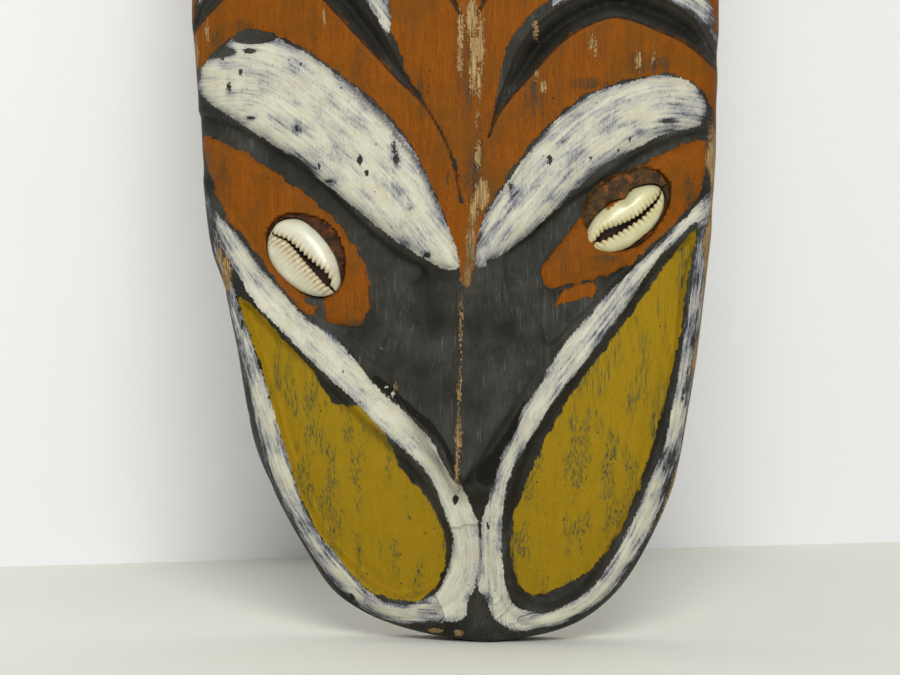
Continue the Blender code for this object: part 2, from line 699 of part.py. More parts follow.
def make_hanger(board):
    """A saw-tooth picture hanger on two nails, in the seat cut into the back."""
    steel = material("hanger_steel", (0.45, 0.42, 0.36), 0.4, 1.0)
    seat_floor = -SEAT_SIZE[1]
    plate = add_object("hanger_plate", plate_mesh(), steel)
    plate.location = Vector((0.0, seat_floor + GAP, 0.0)) * MM
    head_under = seat_floor + GAP + PLATE_THICK + GAP
    nail_profile = [
        (0.15, head_under - NAIL_LENGTH),
        (NAIL_SHANK_RADIUS, head_under - NAIL_LENGTH + 1.5),
        (NAIL_SHANK_RADIUS, head_under),
        (NAIL_HEAD_RADIUS, head_under),
        (NAIL_HEAD_RADIUS * 0.96, head_under + NAIL_HEAD_THICK * 0.6),
        (NAIL_HEAD_RADIUS * 0.7, head_under + NAIL_HEAD_THICK),
    ]
    hole_radius = NAIL_SHANK_RADIUS + GAP
    hole_profile = [
        (hole_radius, head_under - NAIL_LENGTH - 1.0),
        (hole_radius, 1.0),
    ]
    for side, sign in (("left", -1), ("right", 1)):
        place = Vector((sign * NAIL_SPACING / 2, 0.0, PLATE_HEIGHT / 2)) * MM
        mesh = turned_mesh(f"{side}_hanger_nail", nail_profile)
        shade(mesh)
        nail = add_object(f"{side}_hanger_nail", mesh, steel)
        nail.location = place
        hole = as_cutter(add_object(f"{side}_nail_hole", turned_mesh("nail_hole", hole_profile)))
        hole.location = place
        cut(board, hole)
        cut(plate, hole)


def main():
    clear_scene()
    board = make_board()
    make_eye("left", *LEFT_EYE_AT, board)
    make_eye("right", *RIGHT_EYE_AT, board)
    make_hanger(board)


main()
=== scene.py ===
import math

import bpy
import numpy as np
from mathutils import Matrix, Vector


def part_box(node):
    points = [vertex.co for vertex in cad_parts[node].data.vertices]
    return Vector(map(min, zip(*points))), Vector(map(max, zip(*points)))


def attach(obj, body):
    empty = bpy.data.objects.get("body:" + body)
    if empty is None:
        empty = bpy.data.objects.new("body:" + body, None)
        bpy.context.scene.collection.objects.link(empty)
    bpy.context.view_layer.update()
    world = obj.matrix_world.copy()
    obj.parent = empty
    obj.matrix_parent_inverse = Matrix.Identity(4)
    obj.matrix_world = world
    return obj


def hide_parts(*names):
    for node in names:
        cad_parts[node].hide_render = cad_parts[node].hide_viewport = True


# A carved and painted wooden mask with cowrie-shell eyes and a hanger in its flat back.
# Shapes are worked out in millimetres: x to the right from the nose ridge, up is the height
# above the chin, and proud is the distance out from the wall. The face's lines are drawn on a
# flat plane, as they look from one point in front, and are carried on to the arched board.

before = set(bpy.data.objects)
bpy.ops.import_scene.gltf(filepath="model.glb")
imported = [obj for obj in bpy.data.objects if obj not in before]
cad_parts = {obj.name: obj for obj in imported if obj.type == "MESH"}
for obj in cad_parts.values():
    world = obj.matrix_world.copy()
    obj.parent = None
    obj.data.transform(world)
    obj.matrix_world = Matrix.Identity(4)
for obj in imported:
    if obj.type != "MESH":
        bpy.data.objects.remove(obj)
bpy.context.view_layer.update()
mm = 0.001
chinZ = -320.0  # where up is 0, in the part's own frame
boardLow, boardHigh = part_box("mask_board")
chinUp, crownUp = boardLow[2] / mm - chinZ, boardHigh[2] / mm - chinZ
sight = {"x": 91.5, "proud": 1022.0, "up": 161.0, "planeProud": 30.0}


# smoothstep: 3t^2 - 2t^3 between the two ends
def smooth(low, high, value):
    share = np.clip((value - low) / (high - low), 0.0, 1.0)
    return share * share * (3.0 - 2.0 * share)


# A quarter round: 0 outside, then the height of a circle's arc, reaching 1 at the given width
def pillow(inside, width):
    share = np.clip(inside / width, 0.0, 1.0)
    return np.sqrt(1.0 - (1.0 - share) ** 2)


latticeSize, latticeShift = 64, (17.3, 9.1)


# Value noise: random heights on a square lattice, blended between the four nearest corners
# with the smoothstep weights; the result runs from -1 to 1.
def lumps(x, y, size, seed):
    lattice = np.random.default_rng(seed).uniform(-1.0, 1.0, (latticeSize, latticeSize))
    u, v = x / size + latticeShift[0], y / size + latticeShift[1]
    column, row = np.floor(u).astype(int), np.floor(v).astype(int)
    u, v = u - column, v - row
    u, v = u * u * (3 - 2 * u), v * v * (3 - 2 * v)
    here, beside = column % latticeSize, (column + 1) % latticeSize
    below, above = row % latticeSize, (row + 1) % latticeSize
    near = lattice[below, here] * (1 - u) + lattice[below, beside] * u
    far = lattice[above, here] * (1 - u) + lattice[above, beside] * u
    return near * (1 - v) + far * v


# A smooth line through the points (Catmull-Rom), with this many steps between two of them
def curveThrough(points, closed=False, steps=5):
    given = np.array(points, float)
    if closed:
        padded = np.vstack([given[-1], given, given[:2]])
    else:
        padded = np.vstack([2 * given[0] - given[1], given, 2 * given[-1] - given[-2]])
    t = np.arange(steps)[:, None] / steps
    pieces = []
    for a, b, c, d in zip(padded, padded[1:], padded[2:], padded[3:]):
        cubic = (2 * a - 5 * b + 4 * c - d) * t**2 + (3 * b - a - 3 * c + d) * t**3
        pieces.append(0.5 * (2 * b + (c - a) * t + cubic))
    if not closed:
        pieces.append(given[-1:])
    return np.vstack(pieces)


# Distance to a polyline, the length run along it to the nearest place, and the signed
# distance, positive on the line's left
def nearLine(x, up, line):
    nearest = np.full(x.shape, 1e9)
    run = np.zeros(x.shape)
    signed = np.zeros(x.shape)
    walked = 0.0
    for (x0, up0), (x1, up1) in zip(line, line[1:]):
        goX, goUp = x1 - x0, up1 - up0
        length = math.hypot(goX, goUp)
        if length == 0:
            continue
        share = np.clip(((x - x0) * goX + (up - up0) * goUp) / length**2, 0.0, 1.0)
        away = np.hypot(x - x0 - share * goX, up - up0 - share * goUp)
        closer = away < nearest
        nearest = np.where(closer, away, nearest)
        run = np.where(closer, walked + share * length, run)
        side = np.sign(goX * (up - up0) - goUp * (x - x0))
        signed = np.where(closer, away * side, signed)
        walked += length
    return nearest, run, signed


# How far inside a closed outline each point lies, negative outside, by even-odd crossings. It
# stops counting at the reach.
def insideOf(x, up, outline, reach=14.0):
    loop = curveThrough(outline, closed=True)
    loop = np.vstack([loop, loop[:1]])
    low, high = loop.min(axis=0) - reach, loop.max(axis=0) + reach
    near = (x > low[0]) & (x < high[0]) & (up > low[1]) & (up < high[1])
    depth = np.full(x.shape, -reach)
    nearX, nearUp = x[near], up[near]
    away = nearLine(nearX, nearUp, loop)[0]
    inside = np.zeros(nearX.shape, bool)
    for (x0, up0), (x1, up1) in zip(loop, loop[1:]):
        if up0 == up1:
            continue
        crosses = (nearUp < up0) != (nearUp < up1)
        inside ^= crosses & (nearX < x0 + (nearUp - up0) * (x1 - x0) / (up1 - up0))
    depth[near] = np.clip(np.where(inside, away, -away), -reach, reach)
    return depth


# Puts a grid of points (rows, columns, 3, in millimetres) into a closed mesh: the columns
# run round, and each end is closed with one face. Flipped, its faces turn the other way.
def tubeMesh(name, grid, flip=False):
    rows, columns = grid.shape[:2]
    index = np.arange(rows * columns).reshape(rows, columns)
    following = np.roll(index, -1, axis=1)
    quads = np.stack([index[:-1], following[:-1], following[1:], index[1:]], axis=-1)
    quads = quads.reshape(-1, 4)
    first, last = index[0][::-1], index[-1]
    if flip:
        quads, first, last = quads[:, ::-1], first[::-1], last[::-1]
    corners = np.concatenate([quads.ravel(), first, last])
    quadCorners = 4 * len(quads)
    starts = np.append(np.arange(len(quads)) * 4, [quadCorners, quadCorners + columns])
    mesh = bpy.data.meshes.new(name)
    mesh.vertices.add(rows * columns)
    mesh.vertices.foreach_set("co", (grid * mm).astype(np.float32).ravel())
    mesh.loops.add(len(corners))
    mesh.loops.foreach_set("vertex_index", corners.astype(np.int32))
    mesh.polygons.add(len(starts))
    mesh.polygons.foreach_set("loop_start", starts.astype(np.int32))
    mesh.update(calc_edges=True)
    mesh.validate()
    mesh.shade_smooth()
    return mesh


def addAttribute(mesh, name, values):
    values = np.asarray(values, np.float32)
    vector = values.ndim > 1 and values.shape[-1] == 3
    made = mesh.attributes.new(name, "FLOAT_VECTOR" if vector else "FLOAT", "POINT")
    made.data.foreach_set("vector" if vector else "value", values.ravel())


def putInScene(name, data):
    made = bpy.data.objects.new(name, data)
    bpy.context.scene.collection.objects.link(made)
    return made


def addPiece(name, mesh, material, node):
    piece = putInScene(name, mesh)
    mesh.materials.append(material)
    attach(piece, "root")
    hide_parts(node)


def newNode(tree, kind, inputs=None, **settings):
    made = tree.nodes.new("ShaderNode" + kind)
    for key, value in settings.items():
        setattr(made, key, value)
    for key, value in (inputs or {}).items():
        plug = made.inputs[key]
        if isinstance(value, bpy.types.NodeSocket):
            tree.links.new(value, plug)
        else:
            plug.default_value = value
    return made


def calc(tree, operation, a, b=0.0, c=0.0, clamp=False):
    inputs = {0: a, 1: b, 2: c}
    return newNode(tree, "Math", inputs, operation=operation, use_clamp=clamp).outputs[0]


# Turns a value between two ends into 0 to 1, with soft shoulders
def fade(tree, value, low, high):
    inputs = {"Value": value, "From Min": low, "From Max": high}
    return newNode(tree, "MapRange", inputs, interpolation_type="SMOOTHSTEP").outputs[0]


# A noise swung about its middle by an amount, added to a base
def swung(tree, value, amount, base=0.0, clamp=False):
    return calc(tree, "MULTIPLY_ADD", calc(tree, "SUBTRACT", value, 0.5), amount, base, clamp)


def times(tree, a, b):
    return calc(tree, "MULTIPLY", a, b)


# Lays colour b over colour a where the mask is 1; a plain colour is (red, green, blue)
def mixColour(tree, mask, a, b):
    a, b = ((*c, 1.0) if isinstance(c, tuple) else c for c in (a, b))
    return newNode(tree, "Mix", {0: mask, 6: a, 7: b}, data_type="RGBA").outputs[2]


def ramp(tree, factor, stops):
    made = newNode(tree, "ValToRGB", {0: factor})
    while len(made.color_ramp.elements) < len(stops):
        made.color_ramp.elements.new(0.5)
    for element, (place, colour) in zip(made.color_ramp.elements, stops):
        element.position = place
        element.color = (*colour, 1.0)
    return made.outputs[0]


def noise(tree, vector, scale, detail=3.0, roughness=0.55):
    inputs = {"Vector": vector, "Scale": scale, "Detail": detail, "Roughness": roughness}
    return newNode(tree, "TexNoise", inputs).outputs[0]


def stretched(tree, vector, scale):
    return newNode(tree, "Mapping", {"Vector": vector, "Scale": scale}).outputs[0]


def attribute(tree, name, output="Fac"):
    return newNode(tree, "Attribute", attribute_name=name).outputs[output]


def newGroup(name, inputs, outputs):
    group = bpy.data.node_groups.new(name, "ShaderNodeTree")
    for label, kind, value in inputs:
        socket = group.interface.new_socket(label, in_out="INPUT", socket_type="NodeSocket" + kind)
        if value is not None:
            socket.default_value = value
    for label, kind in outputs:
        group.interface.new_socket(label, in_out="OUTPUT", socket_type="NodeSocket" + kind)
    return group, group.nodes.new("NodeGroupInput"), group.nodes.new("NodeGroupOutput")


def useGroup(tree, group, inputs):
    return newNode(tree, "Group", inputs, node_tree=group)


def newMaterial(name):
    material = bpy.data.materials.new(name)
    material.use_nodes = True
    tree = material.node_tree
    return material, tree, tree.nodes["Principled BSDF"]


def millimetres(tree):
    place = newNode(tree, "TexCoord").outputs["Object"]
    return newNode(tree, "VectorMath", {0: place, "Scale": 1.0 / mm}, operation="SCALE").outputs[0]


def addBump(tree, shader, height, distance, strength):
    inputs = {"Height": height, "Distance": distance, "Strength": strength}
    tree.links.new(newNode(tree, "Bump", inputs).outputs["Normal"], shader.inputs["Normal"])


# Upright wood grain: noise drawn out along Z, with round pits and rarer ragged chips from two
# cell patterns
def makeGrainGroup():
    group, given, result = newGroup(
        "uprightGrain",
        [("Vector", "Vector", None), ("Width", "Float", 0.35)],
        [("Streaks", "Float"), ("Broad", "Float"), ("Pits", "Float"), ("Chips", "Float")],
    )
    drawn = stretched(group, given.outputs["Vector"], (1.0, 1.0, 0.05))
    perMm = calc(group, "DIVIDE", 1.0, given.outputs["Width"])
    streaks = noise(group, drawn, perMm, 3.0, 0.6)
    broad = noise(group, drawn, times(group, perMm, 0.2), 2.0, 0.5)
    cells = newNode(group, "TexVoronoi", {"Vector": given.outputs["Vector"], "Scale": 0.42})
    rare = newNode(group, "SeparateColor", {0: cells.outputs["Color"]}).outputs[0]
    size = calc(group, "MULTIPLY_ADD", rare, 0.22, -0.1)
    pits = fade(group, calc(group, "SUBTRACT", size, cells.outputs["Distance"]), -0.02, 0.03)
    tall = stretched(group, given.outputs["Vector"], (1.0, 1.0, 0.55))
    warp = noise(group, tall, 1.6, 2.0, 0.6)
    cells = newNode(group, "TexVoronoi", {"Vector": tall, "Scale": 0.38})
    rare = newNode(group, "SeparateColor", {0: cells.outputs["Color"]}).outputs[1]
    size = calc(group, "MULTIPLY_ADD", rare, 2.4, -2.08)
    size = swung(group, warp, 0.5, size)
    chips = fade(group, calc(group, "SUBTRACT", size, cells.outputs["Distance"]), -0.03, 0.04)
    for name, value in zip(("Streaks", "Broad", "Pits", "Chips"), (streaks, broad, pits, chips)):
        group.links.new(value, result.inputs[name])
    return group


# The ragged border of a painted field: the distance inside it, shifted by a slow wander and
# by fine fraying along the grain, then cut to a mask
def makeBorderGroup():
    group, given, result = newGroup(
        "paintBorder",
        [
            ("Inside", "Float", 0.0),
            ("Vector", "Vector", None),
            ("Wander", "Float", 3.0),
            ("Fray", "Float", 1.6),
            ("Soft", "Float", 0.12),
        ],
        [("Mask", "Float")],
    )
    place, soft = given.outputs["Vector"], given.outputs["Soft"]
    slow = noise(group, place, 0.3, 3.0, 0.6)
    quick = noise(group, stretched(group, place, (1.0, 1.0, 0.5)), 2.2, 3.0, 0.65)
    fray = swung(group, quick, given.outputs["Fray"])
    shift = calc(group, "ADD", swung(group, slow, given.outputs["Wander"]), fray)
    inside = calc(group, "ADD", given.outputs["Inside"], shift)
    mask = fade(group, inside, times(group, soft, -1.0), soft)
    group.links.new(mask, result.inputs["Mask"])
    return group


# How much paint the brush left: long streaks along the stroke, broken by soft patches
def makeBrushGroup():
    group, given, result = newGroup(
        "dryBrush",
        [
            ("Stroke", "Vector", None),
            ("Vector", "Vector", None),
            ("Load", "Float", 0.5),
            ("Scratchy", "Float", 0.5),
        ],
        [("Cover", "Float"), ("Ridges", "Float")],
    )
    run, place = given.outputs["Stroke"], given.outputs["Vector"]
    streaks = noise(group, stretched(group, run, (0.07, 1.0, 1.0)), 1.5, 4.0, 0.68)
    patches = noise(group, stretched(group, run, (0.45, 1.0, 1.0)), 0.2, 4.0, 0.6)
    speckle = noise(group, stretched(group, place, (1.0, 1.0, 0.35)), 2.4, 3.0, 0.7)
    cover = swung(group, patches, 1.7, given.outputs["Load"])
    scratch = swung(group, streaks, 2.6)
    cover = calc(group, "MULTIPLY_ADD", scratch, given.outputs["Scratchy"], cover)
    cover = swung(group, speckle, 0.6, cover)
    group.links.new(cover, result.inputs["Cover"])
    group.links.new(streaks, result.inputs["Ridges"])
    return group


grainGroup = makeGrainGroup()
borderGroup = makeBorderGroup()
brushGroup = makeBrushGroup()
print("shared effects ready")


board = {
    "edgeThick": 15.0,
    "endThick": 12.0,
    "archRise": 15.0,
    "endTaper": 80.0,
    "rimRound": 4.5,
    "rimFall": 3.6,
    "keelRise": 2.0,
    "keelHalf": 16.0,
    "browRise": 3.2,
    "browRound": 5.0,
    "browFoot": 1.3,
    "socketSink": 3.4,
    "socketRamp": 1.6,
    "socketFar": (14.0, 2.0, 0.55),  # it shallows from 2 to 14 mm below the brow, to this share
    "eyeRise": 2.4,
    "eyeRound": 5.0,
    "bandRise": 1.4,
    "bandWidth": 4.5,
    "panelSink": 2.4,
    "panelRamp": 2.6,
    "grooveDepth": 4.6,
    "grooveHalf": 4.2,
    "firstCut": 0.2,
    "bank": 3.0,
    "noseTop": 103.0,
    "noseLength": 60.0,
    "noseTip": 11.0,
    "noseBridge": 1.0,
    "noseFall": 5.0,
    "noseHalf": 22.0,
    "noseRamp": 1.5,
    "archPitch": 31.0,
    "highPairs": 5,
    "archLowering": 0.09,
    "hollowUp": 170.0,
    "hollowHalf": (50.0, 18.0, 128.0),
    "seatHalf": 29.0,
    "seatDeep": 5.0,
    "seatUp": (313.0, 335.0),
    "fineStep": 0.8,
    "coarseStep": 1.75,
    "fineBelow": 178.0,
    "frontColumns": 180,
    "sideColumns": 4,
    "backColumns": 54,
    "rimWobble": 0.25,
    "sharpAngle": 55.0,
    "pocketDeep": 9.0,
    "pocketHalf": (13.1, 9.7),
    "pocketWander": 0.05,
}
outside = -9.0  # a distance well outside a painted field

leftEdge = [
    (4, 0), (-9, 1.4), (-20, 4.2), (-29, 8), (-37, 14), (-44, 25), (-51.5, 38.5), (-57, 52),
    (-60, 66), (-64.5, 92), (-69.5, 110), (-72, 140), (-74, 172), (-73.5, 215), (-70.5, 255),
    (-65, 290), (-56.5, 320), (-45, 345), (-32, 362), (-17, 372.5), (-2, 375),
]
rightEdge = [
    (4, 0), (15, 0.9), (25, 3.2), (33, 7), (41, 14), (47, 23), (52.5, 34), (57, 46), (60, 62),
    (63.5, 87), (66, 112), (67, 140), (67.5, 172), (67.5, 215), (65, 255), (60, 290),
    (52, 320), (40.5, 345), (28, 362), (13, 372.5), (-2, 375),
]

# Carved fields, as closed outlines of (x, up)
leftBrow = [
    (-72, 154), (-67.5, 158.5), (-62, 163), (-56, 164.5), (-46, 160.5), (-33.5, 152.5),
    (-23.5, 144), (-15, 134), (-9, 122), (-4.8, 112), (-2, 103), (-5, 102), (-9.5, 104),
    (-19, 110), (-31, 119.5), (-44.5, 130.5), (-56.5, 138.5), (-67.5, 145.5), (-71.5, 149),
]
rightBrow = [
    (3.4, 103), (5.4, 114), (12.2, 125), (20.2, 136), (28.4, 144), (36.5, 149), (47, 152),
    (54, 153), (60.5, 150.8), (63.7, 146.6), (64, 142.6), (61.5, 140.5), (52.7, 138.3),
    (42, 132.6), (33.8, 127.5), (25.7, 119.6), (15, 110), (6.8, 104),
]
leftEye = [
    (-71.6, 137), (-61, 133), (-47, 124.3), (-36.5, 115.6), (-28.5, 105), (-26, 97),
    (-26.5, 89), (-30, 85.5), (-37, 87), (-44.5, 90), (-52, 97), (-58, 104), (-64, 114),
    (-69, 125),
]
rightEye = [
    (64.5, 136), (57, 134.5), (47.2, 129.5), (35.6, 120), (27, 110.5), (21.5, 103.5),
    (20.5, 99), (24, 96), (34.3, 98.8), (45.4, 103.1), (54, 111), (60.8, 118.3), (64, 126),
]
leftCheek = [
    (-62, 92.5), (-57.5, 92), (-50, 84), (-42, 77), (-34, 68.5), (-26, 60.5), (-18, 53),
    (-11.5, 46.5), (-7, 39), (-4, 32), (-3, 25), (-4, 18), (-8, 13.5), (-15, 11), (-22, 12),
    (-30, 18), (-38.5, 27.5), (-45, 39.5), (-50, 53), (-53.5, 66), (-58, 80),
]
rightCheek = [
    (63, 112.5), (56, 108.5), (46.5, 98.5), (39.5, 87), (30.5, 75), (22, 63), (16, 53.5),
    (12, 42), (10.5, 31), (11.5, 21), (15, 12), (22, 9), (29, 11.5), (35, 17), (42, 29),
    (47.5, 40.5), (52.5, 54), (56, 68), (58.5, 83), (60.5, 99),
]
leftSocket = [
    (-74, 143), (-66, 142), (-54, 136), (-40.5, 127), (-29, 116), (-19, 107), (-10, 101.5),
    (-12, 92), (-20, 84), (-24, 75), (-33, 82), (-42, 88.5), (-52, 99), (-60, 109.5),
    (-67, 119), (-74, 129),
]
rightSocket = [
    (68, 139), (58, 138.5), (47.5, 134), (36.5, 127), (27, 120), (17.5, 112), (10, 105),
    (12, 95), (19, 87), (22.5, 80), (31, 88), (42, 98), (52, 107.5), (61, 117), (68, 124),
]
nose = [
    (-1, 43), (-6, 48), (-12.5, 57.5), (-19, 67), (-21, 75), (-20, 88), (-15, 98), (0, 103),
    (15, 98), (20, 88), (22, 79), (17.5, 70), (10, 58), (4, 48.5),
]
# Grooves: the lowest pair runs down to the bridge of the nose, and the others start at the
# centre ridge and repeat above it
lowArches = (
    [
        (-1, 119.5), (-4, 133), (-10.8, 145.5), (-17.6, 153.5), (-24.3, 163), (-32.5, 173.5),
        (-41, 181), (-51, 184), (-61, 181), (-68.5, 173.5), (-77, 160),
    ],
    [
        (6.5, 137), (9.2, 144.7), (14, 153), (19.7, 161.5), (27, 168), (36.7, 172.5),
        (44, 172.5), (53.5, 169), (61, 164), (71, 151),
    ],
)
highArches = (
    [
        (-0.5, 167.5), (-3.2, 173.6), (-8, 182), (-15, 191), (-24, 199), (-34, 204.5),
        (-44, 206.5), (-55, 204.5), (-66, 198), (-77, 186),
    ],
    [
        (3.4, 170), (5.6, 174), (10.5, 182.5), (17.5, 191.5), (26, 199), (36, 203.5),
        (45, 204), (54, 201), (62, 195), (71, 184),
    ],
)


# Where a point of the drawing falls on the board whose front stands this proud there: the
# distance from the point of sight grows by (sight - proud) / (sight - plane)
def ontoBoard(x, up, proud):
    ratio = (sight["proud"] - proud) / (sight["proud"] - sight["planeProud"])
    return sight["x"] + (x - sight["x"]) * ratio, sight["up"] + (up - sight["up"]) * ratio


# The other way: where a point of the board's front falls on the drawing
def ontoDrawing(x, up, proud):
    ratio = (sight["proud"] - sight["planeProud"]) / (sight["proud"] - proud)
    return sight["x"] + (x - sight["x"]) * ratio, sight["up"] + (up - sight["up"]) * ratio


def rimLine(edge):
    x, up = np.array(edge, float).T
    return np.stack(ontoBoard(x, up, board["endThick"]), axis=1)


# Left and right edge of the board at each height
def rimAt(up):
    left, right = curveThrough(rimLine(leftEdge)), curveThrough(rimLine(rightEdge))
    return np.interp(up, left[:, 1], left[:, 0]), np.interp(up, right[:, 1], right[:, 0])


# The grooves' centre lines: above the lowest pair, each is the second pair moved up by the
# pitch, flattened a little, and drawn in with the board's width
def archLines():
    lines = [curveThrough(first) for first in lowArches]
    for side, second in enumerate(highArches):
        line = curveThrough(second)
        for pair in range(board["highPairs"]):
            lower = (1.0 - board["archLowering"]) ** pair
            up = line[0, 1] + (line[:, 1] - line[0, 1]) * lower + board["archPitch"] * pair
            wide = rimAt(up[-1])[side] / rimAt(line[-1, 1])[side]
            x = line[0, 0] + (line[:, 0] - line[0, 0]) * wide
            lines.append(np.stack([x, up], axis=1))
    return lines


# The plain front: rim thickness plus (1 - |distance from the middle|^2.2) times the rise,
# both tapering towards chin and crown, plus a low keel down the middle
def archHeight(x, up):
    left, right = rimAt(up)
    half = np.maximum((right - left) / 2, 0.1)
    fromMiddle = np.clip(np.abs(x - (left + right) / 2) / half, 0.0, 1.0)
    full = smooth(0.0, 1.0, np.minimum(up - chinUp, crownUp - up) / board["endTaper"])
    edge = board["endThick"] + (board["edgeThick"] - board["endThick"]) * full
    rise = board["archRise"] * (0.15 + 0.85 * full)
    keel = board["keelRise"] * full * smooth(0.0, 1.0, 1.0 - np.abs(x) / board["keelHalf"])
    return edge + rise * (1.0 - fromMiddle**2.2) + keel


# Heights of the board's rows: even steps along the rim, counting sideways travel half, and
# finer over the face than over the forehead
def rowHeights():
    up = np.linspace(chinUp, crownUp, 6000)
    left, right = rimAt(up)
    sideways = np.abs(np.diff(left)) * 0.5 + np.abs(np.diff(right)) * 0.5
    middle = (up[1:] + up[:-1]) / 2
    step = np.where(middle < board["fineBelow"], board["fineStep"], board["coarseStep"])
    walked = np.concatenate([[0.0], np.cumsum(np.hypot(np.diff(up), 0.5 * sideways) / step)])
    rows = np.interp(np.arange(0.35, walked[-1] - 0.3), walked, up)
    for wall in board["seatUp"]:
        nearest = np.argmin(np.abs(rows - wall))
        rows[nearest], rows[nearest + 1] = wall - 0.15, wall + 0.15
    return rows


# Front relief. Each carved field is a step, a pillow or a groove of its own distance field,
# added to the arch; the nose is a ridge falling to both sides, taken where it stands higher.
def carvedFront(x, up, fields):
    arch = archHeight(x, up)
    x, up = ontoDrawing(x, up, arch)
    proud = arch.copy()
    for side in ("left", "right"):
        inBrow = fields[side + "Brow"]
        sunk = smooth(0.0, board["socketRamp"], fields[side + "Socket"])
        sunk = sunk * smooth(0.0, board["browFoot"], -inBrow)
        far, near, least = board["socketFar"]
        foot = least + (1.0 - least) * smooth(far, near, -inBrow)
        proud -= board["socketSink"] * sunk * foot
        proud += board["eyeRise"] * pillow(fields[side + "Eye"], board["eyeRound"]) * foot
        proud += board["browRise"] * pillow(inBrow, board["browRound"])
        inside = fields[side + "Cheek"]
        band = np.where(inside < 0, pillow(inside + board["bandWidth"], board["bandWidth"]), 1.0)
        proud += board["bandRise"] * band
        sink = board["panelSink"] + board["bandRise"]
        proud -= sink * smooth(0.0, board["panelRamp"], inside)
    for valley in fields["valleys"]:
        proud -= board["grooveDepth"] * valley
    down = np.clip((board["noseTop"] - up) / board["noseLength"], 0.0, 1.0)
    ridge = board["noseBridge"] + (board["noseTip"] - board["noseBridge"]) * down
    flank = board["noseFall"] * np.minimum(np.abs(x) / board["noseHalf"], 1.0)
    share = smooth(0.0, board["noseRamp"], fields["nose"])
    proud += np.maximum(arch + ridge - flank - proud, 0.0) * share
    return proud


def lineLength(line):
    return np.hypot(*np.diff(line, axis=0).T).sum()


# Half width of a groove along its line: it opens out from a thin cut, the first one only after
# a fifth of its length, and closes again towards the rim
def grooveShape(share, number):
    late = board["firstCut"] if number == 0 else 0.0
    opening = smooth(late, late + 0.33, share) * smooth(1.0, 0.72, share)
    return board["grooveHalf"] * (0.1 + 0.9 * opening)


def carvedFields(x, up):
    x, up = ontoDrawing(x, up, archHeight(x, up))
    outlines = {
        "leftBrow": leftBrow, "rightBrow": rightBrow, "leftEye": leftEye, "rightEye": rightEye,
        "leftCheek": leftCheek, "rightCheek": rightCheek, "leftSocket": leftSocket,
        "rightSocket": rightSocket, "nose": nose,
    }
    fields = {name: insideOf(x, up, outline) for name, outline in outlines.items()}
    valleys, groove = [], np.full(x.shape, -14.0)
    for number, line in enumerate(archLines()):
        away, run, _ = nearLine(x, up, line)
        half = grooveShape(run / lineLength(line), number)
        valleys.append(np.clip(1.0 - away / half, 0.0, 1.0) * half / board["grooveHalf"])
        groove = np.maximum(groove, half - away)
    return fields | {"x": x, "up": up, "valleys": valleys, "groove": groove}


# Painted fields, as closed outlines of (x, up)
foreheadPaint = [
    (-78, 150), (-72.5, 155), (-68, 160), (-62, 164.5), (-56, 166), (-45.5, 161.8),
    (-33, 153.5), (-23, 145), (-14.3, 134.5), (-8.2, 122.3), (-4.2, 111.5), (-1.6, 101),
    (0.9, 96.5), (2.6, 102), (4.4, 114), (11.2, 126), (19.3, 137), (28, 145.3), (36, 150),
    (47, 153), (54, 154), (61.5, 152), (65, 147.5), (72, 142), (90, 260), (60, 400),
    (-60, 400), (-90, 260),
]
browChips = [
    (-66.5, 159.8, 5.0, 1.5), (-57.0, 163.6, 6.0, 1.7), (-57.8, 160.1, 2.0, 0.8),
    (-63.5, 150.1, 0.7, 1.5), (-57.8, 142.1, 1.3, 0.5), (-36.3, 125.0, 1.5, 0.5),
    (-18.8, 134.2, 0.7, 2.0), (-18.2, 131.4, 0.6, 1.4), (-10.0, 105.4, 1.3, 0.8),
    (-14.6, 118.2, 0.5, 0.4), (-45.0, 139.6, 0.5, 0.9), (12.6, 124.0, 0.6, 0.9),
    (34.0, 151.6, 2.6, 0.7), (54.6, 141.6, 2.4, 0.6),
]
dabPaint = [(25.0, 91.6), (25.8, 95.3), (34.5, 97.8), (34.4, 94.3), (30.7, 93.8)]
eyeGaps = [
    (-39.4, 88.5, 1.4, 4.5), (-41, 92.6, 2.6, 1.2), (25.4, 95.9, 2.0, 0.75),
    (29.0, 96.9, 2.4, 0.75), (33.0, 98.0, 2.2, 0.7),
]
eyeMargin = 1.1
# Painted shadow beside the nose's point: the deepest black, as closed outlines of (x, up)
noseShadowOutlines = (
    [
        (16.5, 66.3), (14.7, 59.1), (10.7, 51.6), (7.7, 43.6), (4, 43.4), (3.2, 46.6),
        (6.5, 51), (11, 57.5),
    ],
    [
        (-24.3, 70.4), (-15, 63.0), (-8, 57.2), (-4.6, 52.2), (-0.5, 44.6), (-0.1, 46.8),
        (-3.8, 54.4), (-7.4, 59.7), (-14.3, 65.3), (-23.3, 72.2),
    ],
)
whiteDots = [
    (-22.8, 79.8, 0.35, 0.35), (-21.2, 69.3, 0.6, 0.45), (-19.4, 67.5, 0.45, 0.7),
    (-12.4, 62.0, 0.4, 0.3), (8.2, 91.3, 0.35, 0.3),
]
leftRingOuter = [
    (-72.5, 131), (-70.2, 122), (-67.8, 116.6), (-62.4, 111), (-57.8, 105), (-51.8, 97.5),
    (-46.2, 91), (-42.1, 87), (-36.5, 84), (-33.5, 81), (-28.6, 75.3), (-24, 69.5),
    (-15.1, 61.8), (-8.1, 55.5), (-5.7, 51), (-1.1, 43.2), (1.4, 38), (3.6, 32), (4.3, 24),
    (3, 15.7), (1, 12), (-0.5, 6.4), (-10.5, 5.2), (-19.2, 5), (-26.7, 8), (-33, 12.8),
    (-38.5, 18.5), (-43.5, 26), (-48.5, 35), (-54, 46.5), (-58, 60), (-60.8, 73), (-64, 88),
    (-67.5, 102), (-71, 116),
]
